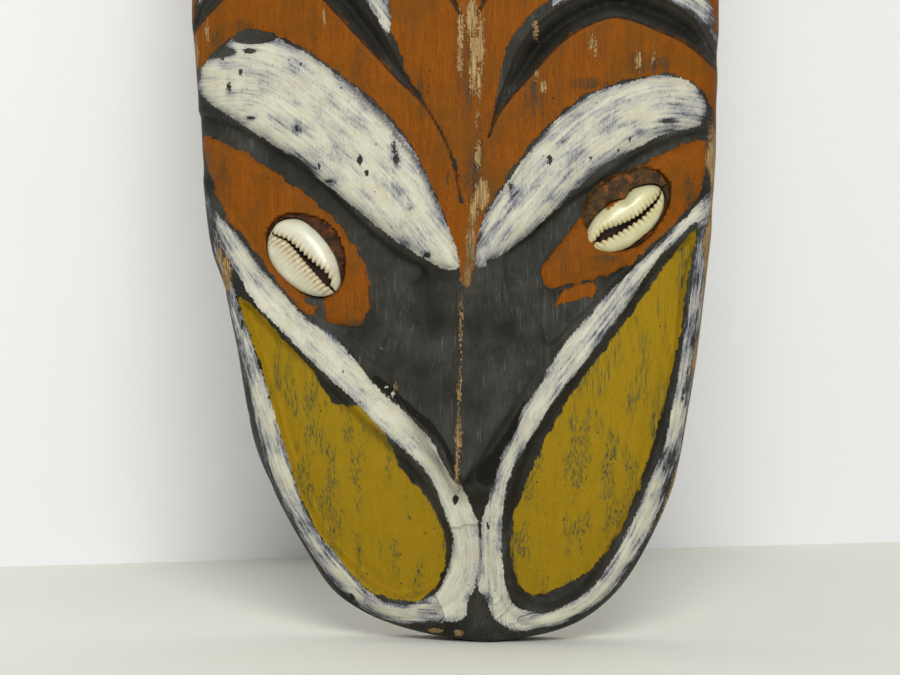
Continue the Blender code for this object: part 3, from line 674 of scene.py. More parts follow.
leftRingInner = [
    (-66.8, 107.5), (-61, 98.8), (-56.7, 91.7), (-50, 84.8), (-43.2, 78), (-36, 71.3),
    (-28.6, 64.5), (-20.5, 56), (-14, 50.5), (-9.3, 44.8), (-5.7, 37), (-3.2, 29.5),
    (-3.2, 25.5), (-4.8, 19.5), (-7.5, 13.8), (-14.3, 10.6), (-19.5, 10.6), (-25, 12.8),
    (-30.8, 18.4), (-35.4, 24), (-40, 29.6), (-43.7, 36.7), (-46.5, 44.5), (-50, 56),
    (-53, 66), (-56.8, 78), (-60.5, 89), (-64, 99),
]
rightRingOuter = [
    (67.5, 124), (60.8, 117.3), (51, 107.5), (41.6, 98), (34.3, 90.5), (24, 77.2),
    (20.2, 70), (15.9, 63.7), (13.5, 57.5), (10, 51), (7.8, 43), (5.2, 35), (4.2, 28),
    (3.4, 15.8), (5.8, 12), (8, 6.5), (14.5, 3.2), (22, 3.8), (30.5, 7.2), (37.5, 12.4),
    (43.5, 19.5), (48.8, 28), (53.2, 38), (56.8, 48), (59.3, 60), (61.5, 73), (63.5, 88),
    (65, 103), (66.5, 115),
]
rightRingInner = [
    (62.4, 114.5), (57, 109.5), (51, 103.5), (46.2, 96), (42.4, 90.2), (36.7, 82.8),
    (31.9, 76), (25.9, 68.6), (21, 61), (15.2, 51.5), (12.3, 45), (10.6, 37), (10.2, 29),
    (11, 18), (12.4, 12.5), (15.3, 9.6), (20.5, 8.5), (27, 10.4), (34.3, 15.3), (39.4, 22),
    (43.8, 30.5), (47.9, 39.4), (52.2, 50), (55.5, 61.5), (58.3, 78.5), (60.6, 95),
    (62.3, 107),
]
leftYellow = [
    (-61.6, 92.8), (-57, 90.5), (-52.5, 86), (-49, 81.6), (-43, 75), (-36.5, 65.6),
    (-32.2, 64), (-27, 64), (-22, 58), (-18, 47.5), (-12.2, 41.2), (-7, 32), (-5.2, 24),
    (-6.8, 17), (-10.6, 12.6), (-15, 11), (-27, 14.6), (-36.3, 24), (-44.4, 38.6),
    (-51, 57.5), (-55, 73),
]
rightYellow = [
    (62.3, 112.5), (58.2, 108.8), (52.5, 100.5), (47.2, 92.8), (39.2, 82), (31.1, 71),
    (24.3, 60.2), (19, 49.6), (13.8, 36.2), (12.2, 26.5), (13.2, 20), (15.7, 14.4),
    (21.6, 13), (31, 18), (36.5, 22.6), (43.2, 33.4), (48.5, 46.8), (53.8, 65.5),
    (57.9, 84.5), (60.3, 101),
]

# Brush strokes of the white paint: a line down the middle of each, how loaded the brush was
# (1 opaque, 0 nothing) and how scratchy
strokes = [
    (
        [(-80, 151), (-56, 151.5), (-42, 143), (-29, 132.5), (-17, 120.5), (-7, 108), (-3, 102)],
        0.67, 0.42,
    ),
    ([(4, 102), (13, 115), (25, 129), (40, 141), (55, 146), (72, 143.5)], 0.60, 0.50),
    (
        [(-78, 133), (-60, 101.5), (-46, 85), (-28, 68), (-13, 56.5), (-5, 44), (0.5, 32)],
        0.74, 0.45,
    ),
    ([(0.5, 32), (1, 20), (-4, 9)], 0.70, 0.4),
    (
        [
            (-70, 110), (-63, 88), (-57, 66), (-52, 48), (-45, 33), (-36, 20), (-24, 9),
            (-8, 7.5),
        ],
        0.60, 0.6,
    ),
    (
        [(73, 128), (50, 106), (36, 88), (22, 70), (13, 54), (8, 42), (7, 28), (7.5, 13)],
        0.64, 0.6,
    ),
    ([(65, 112), (61.5, 85), (57.5, 62), (51, 42), (42, 24), (31, 11), (16, 6)], 0.64, 0.7),
]
# The left cheek's band is brushed drier under the eye: by how much, and where it lies
dryBand = {"less": 0.4, "up": (100.0, 118.0, 131.0, 135.0), "x": (-50.0, -30.0)}
# The crescent of white above each groove, as shares of the groove's length
crescent = {"start": 0.4, "end": 0.91, "thick": 9.0, "load": 0.5, "scratchy": 0.5}

# Places where paint has flaked off to bare wood: (x, up, half width, half height)
flakes = [
    (-1.2, 163, 0.7, 8.5), (1.8, 169, 1.5, 5), (2.4, 158, 1.1, 8), (4.2, 162, 1.0, 6.5),
    (1.9, 152.5, 0.6, 3.2), (3.6, 150, 0.7, 3), (3.5, 142.5, 0.4, 2), (3.6, 132, 0.6, 3.4),
    (4.6, 121.5, 1.9, 4.2), (2.2, 116.5, 0.9, 4), (1.6, 108, 1.3, 5), (0.8, 101, 0.9, 4.5),
    (-0.8, 92, 0.35, 5), (-0.7, 84, 0.3, 4), (-0.9, 70, 0.4, 4), (-1.0, 61, 0.45, 4),
    (-0.9, 56, 0.8, 2.4), (-1.1, 50, 0.5, 4.2), (-1.2, 45.5, 0.4, 2.2),
    (18.9, 166, 0.6, 2.8), (34, 162.5, 0.7, 1.8), (35, 161, 0.4, 2.2), (46.5, 157.2, 0.8, 2.3),
    (50.6, 159, 0.4, 1.4), (19.3, 154, 0.4, 1.3), (21, 150.4, 0.8, 1.6), (34.7, 152, 0.4, 1.2),
    (-65.0, 99.5, 1.4, 5.0), (-66.8, 105, 0.9, 2.5), (-27.5, 59, 0.3, 1), (-38, 169, 0.3, 1.6),
    (-8, 3, 2.2, 0.8), (-1.6, 2.4, 1.2, 1.0), (-73, 160, 0.7, 4), (-70, 165, 0.5, 2.6),
    (66, 136, 0.7, 5), (66.5, 118, 0.6, 6), (-18.6, 69.8, 0.5, 0.8),
]
# Places where the ochre has worn thin over the black: (x, up, half width, half height)
thinSpots = [
    (1.2, 156, 3.2, 14), (2.4, 128, 2.6, 10), (4.5, 121, 4, 5), (12, 121.5, 3, 1.4),
    (-28.5, 157, 1.1, 6), (-60, 166.5, 2.6, 1.6), (-67, 163, 1.4, 2.2), (18.5, 149, 2.2, 5),
    (47, 157, 3.5, 3), (33, 151.5, 5, 1.6), (-4.5, 128, 0.8, 5), (-12, 150, 1.0, 4),
    (30, 119, 1.2, 1.2), (-40.5, 154.5, 3, 1.2), (52, 156.5, 3, 2), (-66, 127, 1.4, 3.4),
    (38, 104.6, 3.6, 1.1), (24, 118, 3, 1.2), (60, 122, 2, 4), (-30.5, 86.5, 3, 1.6),
    (-42, 94, 2.4, 1.6),
]


# How far inside the nearest of many oval spots: one less the distance over the spot's own
# radius there, times its half width
def spotsInside(x, up, spots):
    inside = np.full(x.shape, outside)
    for spotX, spotUp, halfWidth, halfHeight in spots:
        away = np.hypot((x - spotX) / halfWidth, (up - spotUp) / halfHeight)
        inside = np.maximum(inside, (1.0 - away) * halfWidth)
    return inside


# The two eyes: where each shell's middle lies on the face, how its long side is turned, where
# its pocket lies under it, how far its taper goes, how far its teeth and folds reach and stand
# (outer, inner, outer, inner), how wide it is to each side of the slit, the slit itself as
# (along, across, half its opening), and a dent as (along, width, depth)
eyes = {
    "left": {
        "at": (-43.7, 104.0),
        "turn": -44.0,
        "pocketShift": (-0.4, 1.45),
        "egg": 0.13,
        "folds": (1.5, 2.9, 0.36, 0.26),
        "outer": 0.95,
        "inner": 1.04,
        "slit": [
            (-12.6, -2.3, 0.1), (-10.7, -1.6, 0.14), (-7, 0.4, 0.24), (-4, 0.85, 0.4),
            (2, 1.0, 0.8), (6.7, 1.25, 1.2), (9.2, 0.85, 1.05), (10.8, 0.2, 0.35),
            (12.6, -0.6, 0.1),
        ],
        "dent": (0.0, 3.0, 0.0),
    },
    "right": {
        "at": (43.2, 115.8),
        "turn": 215.0,
        "pocketShift": (-1.6, -1.3),
        "egg": -0.04,
        "folds": (1.35, 1.5, 0.30, 0.24),
        "outer": 0.92,
        "inner": 0.66,
        "slit": [
            (-12.6, 0.2, 0.1), (-11, 0.9, 0.14), (-8.6, 1.55, 0.3), (-5.8, 1.85, 0.42),
            (-3, 2.1, 0.52), (0.5, 1.75, 0.66), (3.9, 1.15, 0.95), (7.1, 0.45, 1.2),
            (9.6, 0.4, 0.65), (11, 0.4, 0.18), (12.6, 0.5, 0.1),
        ],
        "dent": (-2.6, 1.9, 1.3),
    },
}


# The eye's own axes on the face: along the shell, across it, and out of the wood, square to
# the plain arch there; and its middle on the carved surface, in mm in the part's frame
def eyeAxes(eye):
    drawnX, drawnUp = np.array(eye["at"])[:, None]
    (x,), (up,) = ontoBoard(drawnX, drawnUp, archHeight(drawnX, drawnUp))
    step = 6.0
    aroundUp = np.array([up, up, up - step, up + step])
    heights = archHeight(np.array([x - step, x + step, x, x]), aroundUp)
    slopeX = (heights[1] - heights[0]) / (2 * step)
    slopeUp = (heights[3] - heights[2]) / (2 * step)
    out = Vector((-slopeX, -1.0, -slopeUp)).normalized()
    angle = math.radians(eye["turn"])
    along = Vector((math.cos(angle), 0.0, math.sin(angle)))
    along = (along - out * along.dot(out)).normalized()
    axes = np.array([along, out.cross(along), out])
    surface = archHeight(np.array([x]), np.array([up]))[0] - board["socketSink"] + board["eyeRise"]
    return np.array([x, -surface, up + chinZ]), axes


def onEye(eye, local):
    middle, axes = eyeAxes(eye)
    return middle + local @ axes


# Distance inside the pocket's oval, in the eye's own plane
def pocketInside(x, up, eye):
    middle, axes = eyeAxes(eye)
    face = archHeight(x, up) - board["socketSink"] + board["eyeRise"]
    local = (np.stack([x, -face, up + chinZ], axis=-1) - middle) @ axes.T
    along, across = local[..., 0] - eye["pocketShift"][0], local[..., 1] - eye["pocketShift"][1]
    halfLong, halfWide = board["pocketHalf"]
    wander = 1.0 + board["pocketWander"] * np.sin(3.0 * np.arctan2(across, along) + eye["turn"])
    return (1.0 - np.hypot(along / halfLong, across / halfWide) * wander) * halfWide


# The back: flat, with a hollow that is half an ellipsoid, scooped in short gouge strokes, and
# the hanger's seat cut straight in
def backDepth(x, up):
    halfX, deep, halfUp = board["hollowHalf"]
    spread = 1.0 - (x / halfX) ** 2 - ((up - board["hollowUp"]) / halfUp) ** 2
    hollow = deep * np.sqrt(np.clip(spread, 0.0, 1.0))
    lane = (x + 60.0 + 1.5 * np.sin(up / 17.0)) / 8.0
    row = np.floor(lane)
    stroke = np.abs(np.sin((up + row * 11.3) / 8.0))
    scoop = 0.5 * stroke + 2.0 * (lane - row - 0.5) ** 2
    hollow = np.maximum(hollow - scoop * smooth(0.0, 4.0, hollow), 0.0)
    low, high = board["seatUp"]
    seat = (np.abs(x) < board["seatHalf"] + 0.1) & (up > low) & (up < high)
    return np.where(seat, board["seatDeep"], hollow)


# Columns across the back, from the right edge to the left. The middle ones end at the hollow's
# rim, or at the seat's walls, so that both are cut clean.
def backPlaces(rows, left, right):
    halfX, _, halfUp = board["hollowHalf"]
    bottom, top = board["hollowUp"] - halfUp, board["hollowUp"] + halfUp
    middle = (left + right) / 2 * (smooth(26.0, 3.0, rows) + smooth(348.0, 372.0, rows))
    half = np.minimum(right - middle, middle - left)
    rim = halfX * np.sqrt(np.clip(1.0 - ((rows - board["hollowUp"]) / halfUp) ** 2, 0.0, 1.0))
    edge = np.maximum(rim, 4.0) + 20.0 * smooth(bottom - 1.0, bottom - 12.0, rows)
    edge += (board["seatHalf"] - 4.0) * smooth(top + 2.0, board["seatUp"][0] - 1.0, rows)
    edge = np.minimum(edge, 0.7 * half)
    small = np.minimum(1.0, half / 10.0)
    beyond = edge + 0.3 * small
    share = np.linspace(1.0, 0.0, 5)
    outRight = (right - 0.35 * small - middle - beyond)[:, None] * share + beyond[:, None]
    outLeft = (middle - left - 0.35 * small - beyond)[:, None] * share[::-1] + beyond[:, None]
    inner = edge[:, None] * np.sin(np.linspace(0.5, -0.5, board["backColumns"]) * np.pi)
    return middle[:, None] + np.concatenate([outRight, inner, -outLeft], axis=1)


# How far inside the painted fields each point lies, and which brush stroke it belongs to
def paintFields(fields):
    x, up = fields["x"], fields["up"]
    white = np.maximum(fields["leftBrow"], fields["rightBrow"]) + 0.6
    white = np.minimum(white, -spotsInside(x, up, browChips))
    rings = np.full(x.shape, outside)
    for outer, inner in ((leftRingOuter, leftRingInner), (rightRingOuter, rightRingInner)):
        rings = np.maximum(rings, np.minimum(insideOf(x, up, outer), -insideOf(x, up, inner)))
    white = np.maximum(np.maximum(white, rings), spotsInside(x, up, whiteDots))
    nearest = np.full(x.shape, 1e9)
    stroke = np.zeros((*x.shape, 3))
    load, scratchy = np.zeros(x.shape), np.zeros(x.shape)
    painted = [(curveThrough(line), *brush, 0.0) for line, *brush in strokes]
    above = [-1.0, 1.0] + [-1.0] * board["highPairs"] + [1.0] * board["highPairs"]
    brush = (crescent["load"], crescent["scratchy"])
    painted += [(line, *brush, side) for line, side in zip(archLines(), above)]
    bank = np.full(x.shape, outside)
    for number, (line, brushLoad, brushScratchy, side) in enumerate(painted):
        away, run, signed = nearLine(x, up, line)
        closer = away < nearest
        nearest = np.where(closer, away, nearest)
        place = np.stack([run, signed, np.full(x.shape, 31.0 * number)], axis=-1)
        stroke = np.where(closer[..., None], place, stroke)
        load = np.where(closer, brushLoad, load)
        scratchy = np.where(closer, brushScratchy, scratchy)
        if side:
            share = run / lineLength(line)
            arc = (share - crescent["start"]) / (crescent["end"] - crescent["start"])
            thick = crescent["thick"] * np.sin(np.pi * np.clip(arc, 0.0, 1.0) ** 0.8) ** 0.7
            gap = side * signed - grooveShape(share, number - len(strokes))
            white = np.maximum(white, np.minimum(gap - 0.5, thick - gap))
            late = board["firstCut"] if number == len(strokes) else 0.0
            wide = board["bank"] * smooth(0.03, 0.3, share - late) * smooth(1.0, 0.8, share)
            bank = np.maximum(bank, np.minimum(wide - gap, side * signed))
    orange = np.maximum(insideOf(x, up, foreheadPaint), insideOf(x, up, dabPaint))
    eyePaint = np.maximum(fields["leftEye"], fields["rightEye"]) - 0.1
    eyePaint = np.minimum(eyePaint, -spotsInside(x, up, eyeGaps))
    eyePaint = np.minimum(eyePaint, -rings - eyeMargin)
    low, lowFull, highFull, high = dryBand["up"]
    farX, nearX = dryBand["x"]
    dry = dryBand["less"] * smooth(low, lowFull, up) * smooth(high, highFull, up)
    load = load - dry * smooth(nearX, farX, x)
    orange = np.minimum(np.maximum(orange, eyePaint), -np.maximum(fields["groove"] - 0.5, bank))
    yellow = np.maximum(insideOf(x, up, leftYellow), insideOf(x, up, rightYellow))
    return white, orange, yellow, stroke, load, scratchy


# The board is one closed tube of cross-sections from chin to crown. Each runs across the
# carved front, back along the right side, across the back and forward along the left side.
def makeBoardMesh():
    rows = rowHeights()
    left, right = rimAt(rows)
    ends = smooth(0.0, 12.0, np.minimum(rows - chinUp, crownUp - rows))
    left = left + board["rimWobble"] * lumps(rows, 0.0 * rows, 9.0, 21) * ends
    right = right + board["rimWobble"] * lumps(rows, 0.0 * rows, 7.0, 22) * ends
    x = left[:, None] + (right - left)[:, None] * np.linspace(0.0, 1.0, board["frontColumns"])
    up = np.repeat(rows[:, None], x.shape[1], axis=1)
    fields = carvedFields(x, up)
    proud = carvedFront(x, up, fields)
    outline = np.vstack([rimLine(rightEdge), rimLine(leftEdge)[-2:0:-1]])
    rim = insideOf(x, up, outline)
    rim[:, [0, -1]] = 0.0
    proud -= board["rimFall"] * (1.0 - pillow(np.maximum(rim, 0.0), board["rimRound"]))
    proud -= smooth(0.5, 0.9, lumps(x, up, 5.0, 3)) * smooth(5.0, 0.0, rim)
    # The eye pockets are half ellipsoids
    ring = np.maximum(*(pocketInside(x, up, eye) for eye in eyes.values()))
    fromMiddle = np.clip(1.0 - ring / board["pocketHalf"][1], 0.0, 1.0)
    proud -= board["pocketDeep"] * np.sqrt(1.0 - fromMiddle**2)
    proud += 0.22 * lumps(x, up, 9.0, 11) + 0.10 * lumps(x, up, 3.1, 12)
    proud += 0.05 * lumps(x, up * 0.3, 1.3, 13) * smooth(1.5, -0.5, ring)

    sides = board["sideColumns"]
    down = np.arange(1, sides + 1) / (sides + 1)
    backX = backPlaces(rows, left, right)
    backOut = backDepth(backX, np.repeat(rows[:, None], backX.shape[1], axis=1))
    backX = np.concatenate([right[:, None], backX, left[:, None]], axis=1)
    backOut = np.pad(backOut, ((0, 0), (1, 1)))
    backOut[:, [0, -1]] = 0.35

    def wrap(front, behind, fallRight=1.0, fallLeft=1.0):
        onRight, onLeft = front[:, -1:] * fallRight, front[:, :1] * fallLeft
        if np.ndim(behind) == 0:
            behind = np.full((len(rows), backX.shape[1]), float(behind))
        widths = np.ones(sides)
        return np.concatenate([front, onRight * widths, behind, onLeft * widths], axis=1)

    allX = wrap(x, backX)
    allOut = wrap(proud, backOut, 1.0 - down, down)
    allUp = np.repeat(rows[:, None], allX.shape[1], axis=1)
    mesh = tubeMesh("maskBoard", np.stack([allX, -allOut, allUp + chinZ], axis=-1))
    mesh.set_sharp_from_angle(angle=math.radians(board["sharpAngle"]))

    white, orange, yellow, stroke, load, scratchy = paintFields(fields)
    drawnX, drawnUp = fields["x"], fields["up"]
    bare = spotsInside(drawnX, drawnUp, flakes)
    onRight = smooth(8.0, 16.0, up) * smooth(143.0, 139.0, up) * smooth(20.0, 40.0, x)
    strip = 0.7 + 1.5 * lumps(0.0 * up, up, 11.0, 31) - rim
    bare = np.maximum(bare, strip * onRight + outside * (1.0 - onRight))
    # Painted shadow beside the nose's point
    deep = np.maximum(*(insideOf(drawnX, drawnUp, field) for field in noseShadowOutlines))
    worn = spotsInside(drawnX, drawnUp, thinSpots)
    inFields = {
        "white": white, "orange": orange, "yellow": yellow, "bare": bare, "deep": deep,
        # ring also places the painted shade on the eye pockets' walls
        "worn": worn, "groove": fields["groove"], "ring": ring,
    }
    for name, values in inFields.items():
        addAttribute(mesh, name, wrap(values, outside))
    for name, values in {"rimIn": rim, "load": load, "scratchy": scratchy}.items():
        addAttribute(mesh, name, wrap(values, 0))
    behind = wrap(np.zeros(x.shape), 1)
    behind[:, x.shape[1]:x.shape[1] + sides] = 0.15 + 0.7 * down
    behind[:, -sides:] = 0.85 - 0.7 * down
    addAttribute(mesh, "behind", behind)
    along = [wrap(stroke[..., axis], 0) for axis in range(3)]
    addAttribute(mesh, "stroke", np.stack(along, axis=-1))
    return mesh


paint = {
    "black": [
        (0.32, (0.018, 0.017, 0.013)), (0.5, (0.032, 0.031, 0.025)), (0.68, (0.052, 0.051, 0.044)),
    ],
    # Lighter streaks on the black: scratches, and painted sheen
    "blackScratchAndSheen": (0.120, 0.118, 0.106),
    # The darkest black: dark grain lines, and painted shade in the grooves, beside the nose and in
    # the eye pockets
    "darkGrainAndShade": (0.008, 0.007, 0.005),
    "orange": [
        (0.0, (0.028, 0.026, 0.022)), (0.22, (0.072, 0.045, 0.020)), (0.45, (0.155, 0.051, 0.006)),
        (0.72, (0.217, 0.060, 0.001)), (1.0, (0.264, 0.078, 0.004)),
    ],
    # Painted shade down the thin cuts and along the grooves' edges
    "cutShade": (0.022, 0.015, 0.008),
    "tanned": (0.140, 0.055, 0.006),
    "yellow": [
        (0.0, (0.030, 0.030, 0.020)), (0.25, (0.095, 0.088, 0.034)), (0.5, (0.190, 0.145, 0.020)),
        (0.72, (0.284, 0.178, 0.004)), (1.0, (0.334, 0.206, 0.008)),
    ],
    "white": [
        (0.0, (0.028, 0.028, 0.030)), (0.16, (0.080, 0.081, 0.089)), (0.34, (0.242, 0.245, 0.268)),
        (0.52, (0.440, 0.430, 0.390)), (0.72, (0.580, 0.560, 0.450)), (1.0, (0.665, 0.650, 0.525)),
    ],
    "stained": (0.560, 0.520, 0.345),
    "bareDark": (0.190, 0.110, 0.045),
    "bareLight": (0.460, 0.310, 0.140),
    "stain": (0.075, 0.045, 0.022),
    # How well each covers, and how much its grain, patches and fine specks take from it
    "orangeCover": (0.76, 1.35, 0.7, 1.2),
    "yellowCover": (0.86, 0.8, 0.5, 0.7),
    "dryEdge": 0.24,
    "rimWear": 0.26,
    "grainWidth": 0.35,
    "thick": 0.12,
    "grainRelief": 0.06,
    "brushRelief": 0.14,
    "rough": 0.52,
    "paintRougher": 0.12,
    "bareRougher": 0.2,
    "roughSpread": 0.5,
    "specular": 0.10,
}


# Black ground first, then ochre, yellow and white over it, each with a ragged border and
# brushed thin in streaks, and bare wood where it has all flaked off
def makeWoodMaterial():
    material, tree, shader = newMaterial("paintedWood")
    place = millimetres(tree)
    grain = useGroup(tree, grainGroup, {"Vector": place, "Width": paint["grainWidth"]})
    streaks, broad, pits, chips = (grain.outputs[i] for i in range(4))
    fine = noise(tree, stretched(tree, place, (1.0, 1.0, 0.25)), 4.5, 2.0, 0.6)
    slow = noise(tree, place, 0.07, 3.0, 0.6)

    def border(name, wander=3.0, fray=1.6, soft=0.1):
        inputs = {"Inside": attribute(tree, name), "Vector": place, "Wander": wander, "Fray": fray}
        return useGroup(tree, borderGroup, {**inputs, "Soft": soft}).outputs["Mask"]

    # How much paint is left: the grain and broad patches take some away, and fine specks more
    def coverage(base, byGrain, byPatch, byFine):
        left = swung(tree, broad, byPatch, swung(tree, streaks, byGrain, base))
        return swung(tree, fine, byFine, left)

    # The black ground: lighter in scraped patches that also stand for painted sheen, darker in the
    # grain, and with painted shade darkening each groove towards its middle
    colour = ramp(tree, slow, paint["black"])
    # Lighter upright streaks in patches: scratched paint, and painted sheen on the black
    scratchAndSheen = noise(tree, stretched(tree, place, (1.0, 1.0, 0.03)), 1.7, 4.0, 0.7)
    scratchAndSheen = times(tree, fade(tree, scratchAndSheen, 0.54, 0.72), fade(tree, slow, 0.36, 0.6))
    colour = mixColour(tree, times(tree, scratchAndSheen, 0.8), colour, paint["blackScratchAndSheen"])
    hair = fade(tree, streaks, 0.42, 0.3)
    colour = mixColour(tree, times(tree, hair, 0.7), colour, paint["darkGrainAndShade"])
    groove = attribute(tree, "groove")
    # Painted shade in the grooves, darkest in the middle of the widest, deepest ones
    grooveShade = times(tree, fade(tree, groove, 0.4, 3.4), 0.75)
    colour = mixColour(tree, grooveShade, colour, paint["darkGrainAndShade"])

    # Ochre, thin over the worn places and tanned in others, with painted shade as a dark line down
    # each thin cut and along each groove's edge
    worn = border("worn", 3.4, 7.0, 1.6)
    orange = calc(tree, "MULTIPLY_ADD", worn, -0.4, coverage(*paint["orangeCover"]))
    orange = calc(tree, "MULTIPLY_ADD", pits, -0.5, orange)
    orange = calc(tree, "MULTIPLY_ADD", fade(tree, slow, 0.5, 0.36), -0.12, orange, clamp=True)
    orangeMask = border("orange")
    tanned = times(tree, fade(tree, noise(tree, place, 0.11, 3.0, 0.6), 0.46, 0.66), 0.55)
    ochre = mixColour(tree, tanned, ramp(tree, orange, paint["orange"]), paint["tanned"])
    colour = mixColour(tree, orangeMask, colour, ochre)
    # Painted shade: a dark line down each thin cut and along each groove's edge
    cutShade = times(tree, fade(tree, groove, -0.2, 0.15), fade(tree, groove, 0.9, 0.5))
    colour = mixColour(tree, times(tree, cutShade, 0.75), colour, paint["cutShade"])

    # Yellow in the cheeks, with streaks and pits where the black shows through
    thin = noise(tree, stretched(tree, place, (1.3, 1.3, 0.34)), 0.17, 3.0, 0.6)
    thin = fade(tree, thin, 0.46, 0.62)
    yellow = calc(tree, "MULTIPLY_ADD", thin, -0.26, coverage(*paint["yellowCover"]))
    thin = times(tree, times(tree, thin, calc(tree, "SUBTRACT", streaks, 0.5)), 2.4)
    yellow = calc(tree, "MULTIPLY_ADD", pits, -0.8, calc(tree, "ADD", yellow, thin), clamp=True)
    yellowMask = border("yellow", 2.4, 1.4)
    colour = mixColour(tree, yellowMask, colour, ramp(tree, yellow, paint["yellow"]))

    # White, brushed thin along each stroke, at its edges and at the rim, and stained in places
    inputs = {"Stroke": attribute(tree, "stroke", "Vector"), "Vector": place}
    inputs |= {"Load": attribute(tree, "load"), "Scratchy": attribute(tree, "scratchy")}
    brush = useGroup(tree, brushGroup, inputs)
    dryEdge = times(tree, fade(tree, attribute(tree, "white"), 1.8, 0.0), -paint["dryEdge"])
    white = calc(tree, "ADD", brush.outputs["Cover"], dryEdge)
    atRim = fade(tree, attribute(tree, "rimIn"), 4.2, 1.6)
    white = calc(tree, "MULTIPLY_ADD", atRim, -paint["rimWear"], white)
    white = swung(tree, streaks, 0.35, white)
    white = calc(tree, "MULTIPLY_ADD", pits, -0.3, white)
    white = calc(tree, "MULTIPLY_ADD", chips, -1.0, white, clamp=True)
    whiteMask = times(tree, border("white", 1.4, 1.9), fade(tree, white, 0.02, 0.14))
    stained = times(tree, fade(tree, noise(tree, place, 0.16, 3.0, 0.6), 0.5, 0.68), 0.55)
    stained = times(tree, stained, fade(tree, white, 0.45, 0.8))
    chalk = mixColour(tree, stained, ramp(tree, white, paint["white"]), paint["stained"])
    colour = mixColour(tree, whiteMask, colour, chalk)

    # Painted shadow as the deepest black under the nose, and painted shade round the eye pockets
    blackOnly = calc(tree, "SUBTRACT", 1.0, calc(tree, "MAXIMUM", whiteMask, orangeMask))
    noseShadowMask = times(tree, times(tree, border("deep", 1.2, 1.2, 0.3), blackOnly), 0.9)
    colour = mixColour(tree, noseShadowMask, colour, paint["darkGrainAndShade"])
    # Painted shade on the walls inside each eye pocket
    pocketShadeMask = fade(tree, attribute(tree, "ring"), -0.1, 0.3)
    colour = mixColour(tree, pocketShadeMask, colour, paint["darkGrainAndShade"])

    # Bare wood where the paint has flaked off, and on the sides and back
    wood = mixColour(tree, fade(tree, streaks, 0.36, 0.62), paint["bareDark"], paint["bareLight"])
    stain = fade(tree, noise(tree, place, 0.04, 4.0, 0.6), 0.4, 0.75)
    wood = mixColour(tree, stain, wood, paint["stain"])
    behind = attribute(tree, "behind")
    unpainted = fade(tree, swung(tree, broad, 1.6, behind), 0.3, 0.42)
    unpainted = times(tree, unpainted, fade(tree, behind, 0.02, 0.12))
    bareMask = calc(tree, "MAXIMUM", border("bare", 1.4, 3.2, 0.06), unpainted)
    colour = mixColour(tree, bareMask, colour, wood)
    tree.links.new(colour, shader.inputs["Base Color"])

    overBlack = calc(tree, "MAXIMUM", orangeMask, calc(tree, "MAXIMUM", yellowMask, whiteMask))
    rough = calc(tree, "MULTIPLY_ADD", overBlack, paint["paintRougher"], paint["rough"])
    rough = calc(tree, "MULTIPLY_ADD", bareMask, paint["bareRougher"], rough)
    rough = swung(tree, fine, paint["roughSpread"], rough, clamp=True)
    tree.links.new(rough, shader.inputs["Roughness"])
    shader.inputs["Specular IOR Level"].default_value = paint["specular"]

    body = times(tree, whiteMask, calc(tree, "MULTIPLY_ADD", white, 0.8, 0.2))
    body = calc(tree, "MAXIMUM", body, calc(tree, "MAXIMUM", orangeMask, yellowMask))
    height = times(tree, body, paint["thick"])
    height = calc(tree, "MULTIPLY_ADD", bareMask, -paint["thick"], height)
    height = calc(tree, "MULTIPLY_ADD", streaks, 1.6 * paint["grainRelief"], height)
    height = calc(tree, "MULTIPLY_ADD", fine, 1.2 * paint["grainRelief"], height)
    height = calc(tree, "MULTIPLY_ADD", pits, -0.25, height)
    ridges = times(tree, brush.outputs["Ridges"], whiteMask)
    height = calc(tree, "MULTIPLY_ADD", ridges, paint["brushRelief"], height)
    addBump(tree, shader, height, mm, 1.0)
    return material


woodMaterial = makeWoodMaterial()
addPiece("maskBoard", makeBoardMesh(), woodMaterial, "mask_board")
print("board carved and painted")


shell = {
    "length": 25.0,
    "width": 16.5,
    "belly": 4.2,
    "back": 6.3,
    "sunk": 1.2,
    "slitDeep": 3.6,
    "lip": 1.5,
    "teeth": 13,
    "folds": 15,
    "toothed": 20.0,
    "coat": 0.15,
    "coatRough": 0.18,
    "rows": 170,
    "bellyColumns": 132,
    "backColumns": 48,
}


# Half width of the shell along its length, as a share: an egg, narrower towards one end
def shellWidth(along, eye):
    return (1.0 - np.abs(along) ** 2.3) ** 0.55 * (1.0 - eye["egg"] * along)


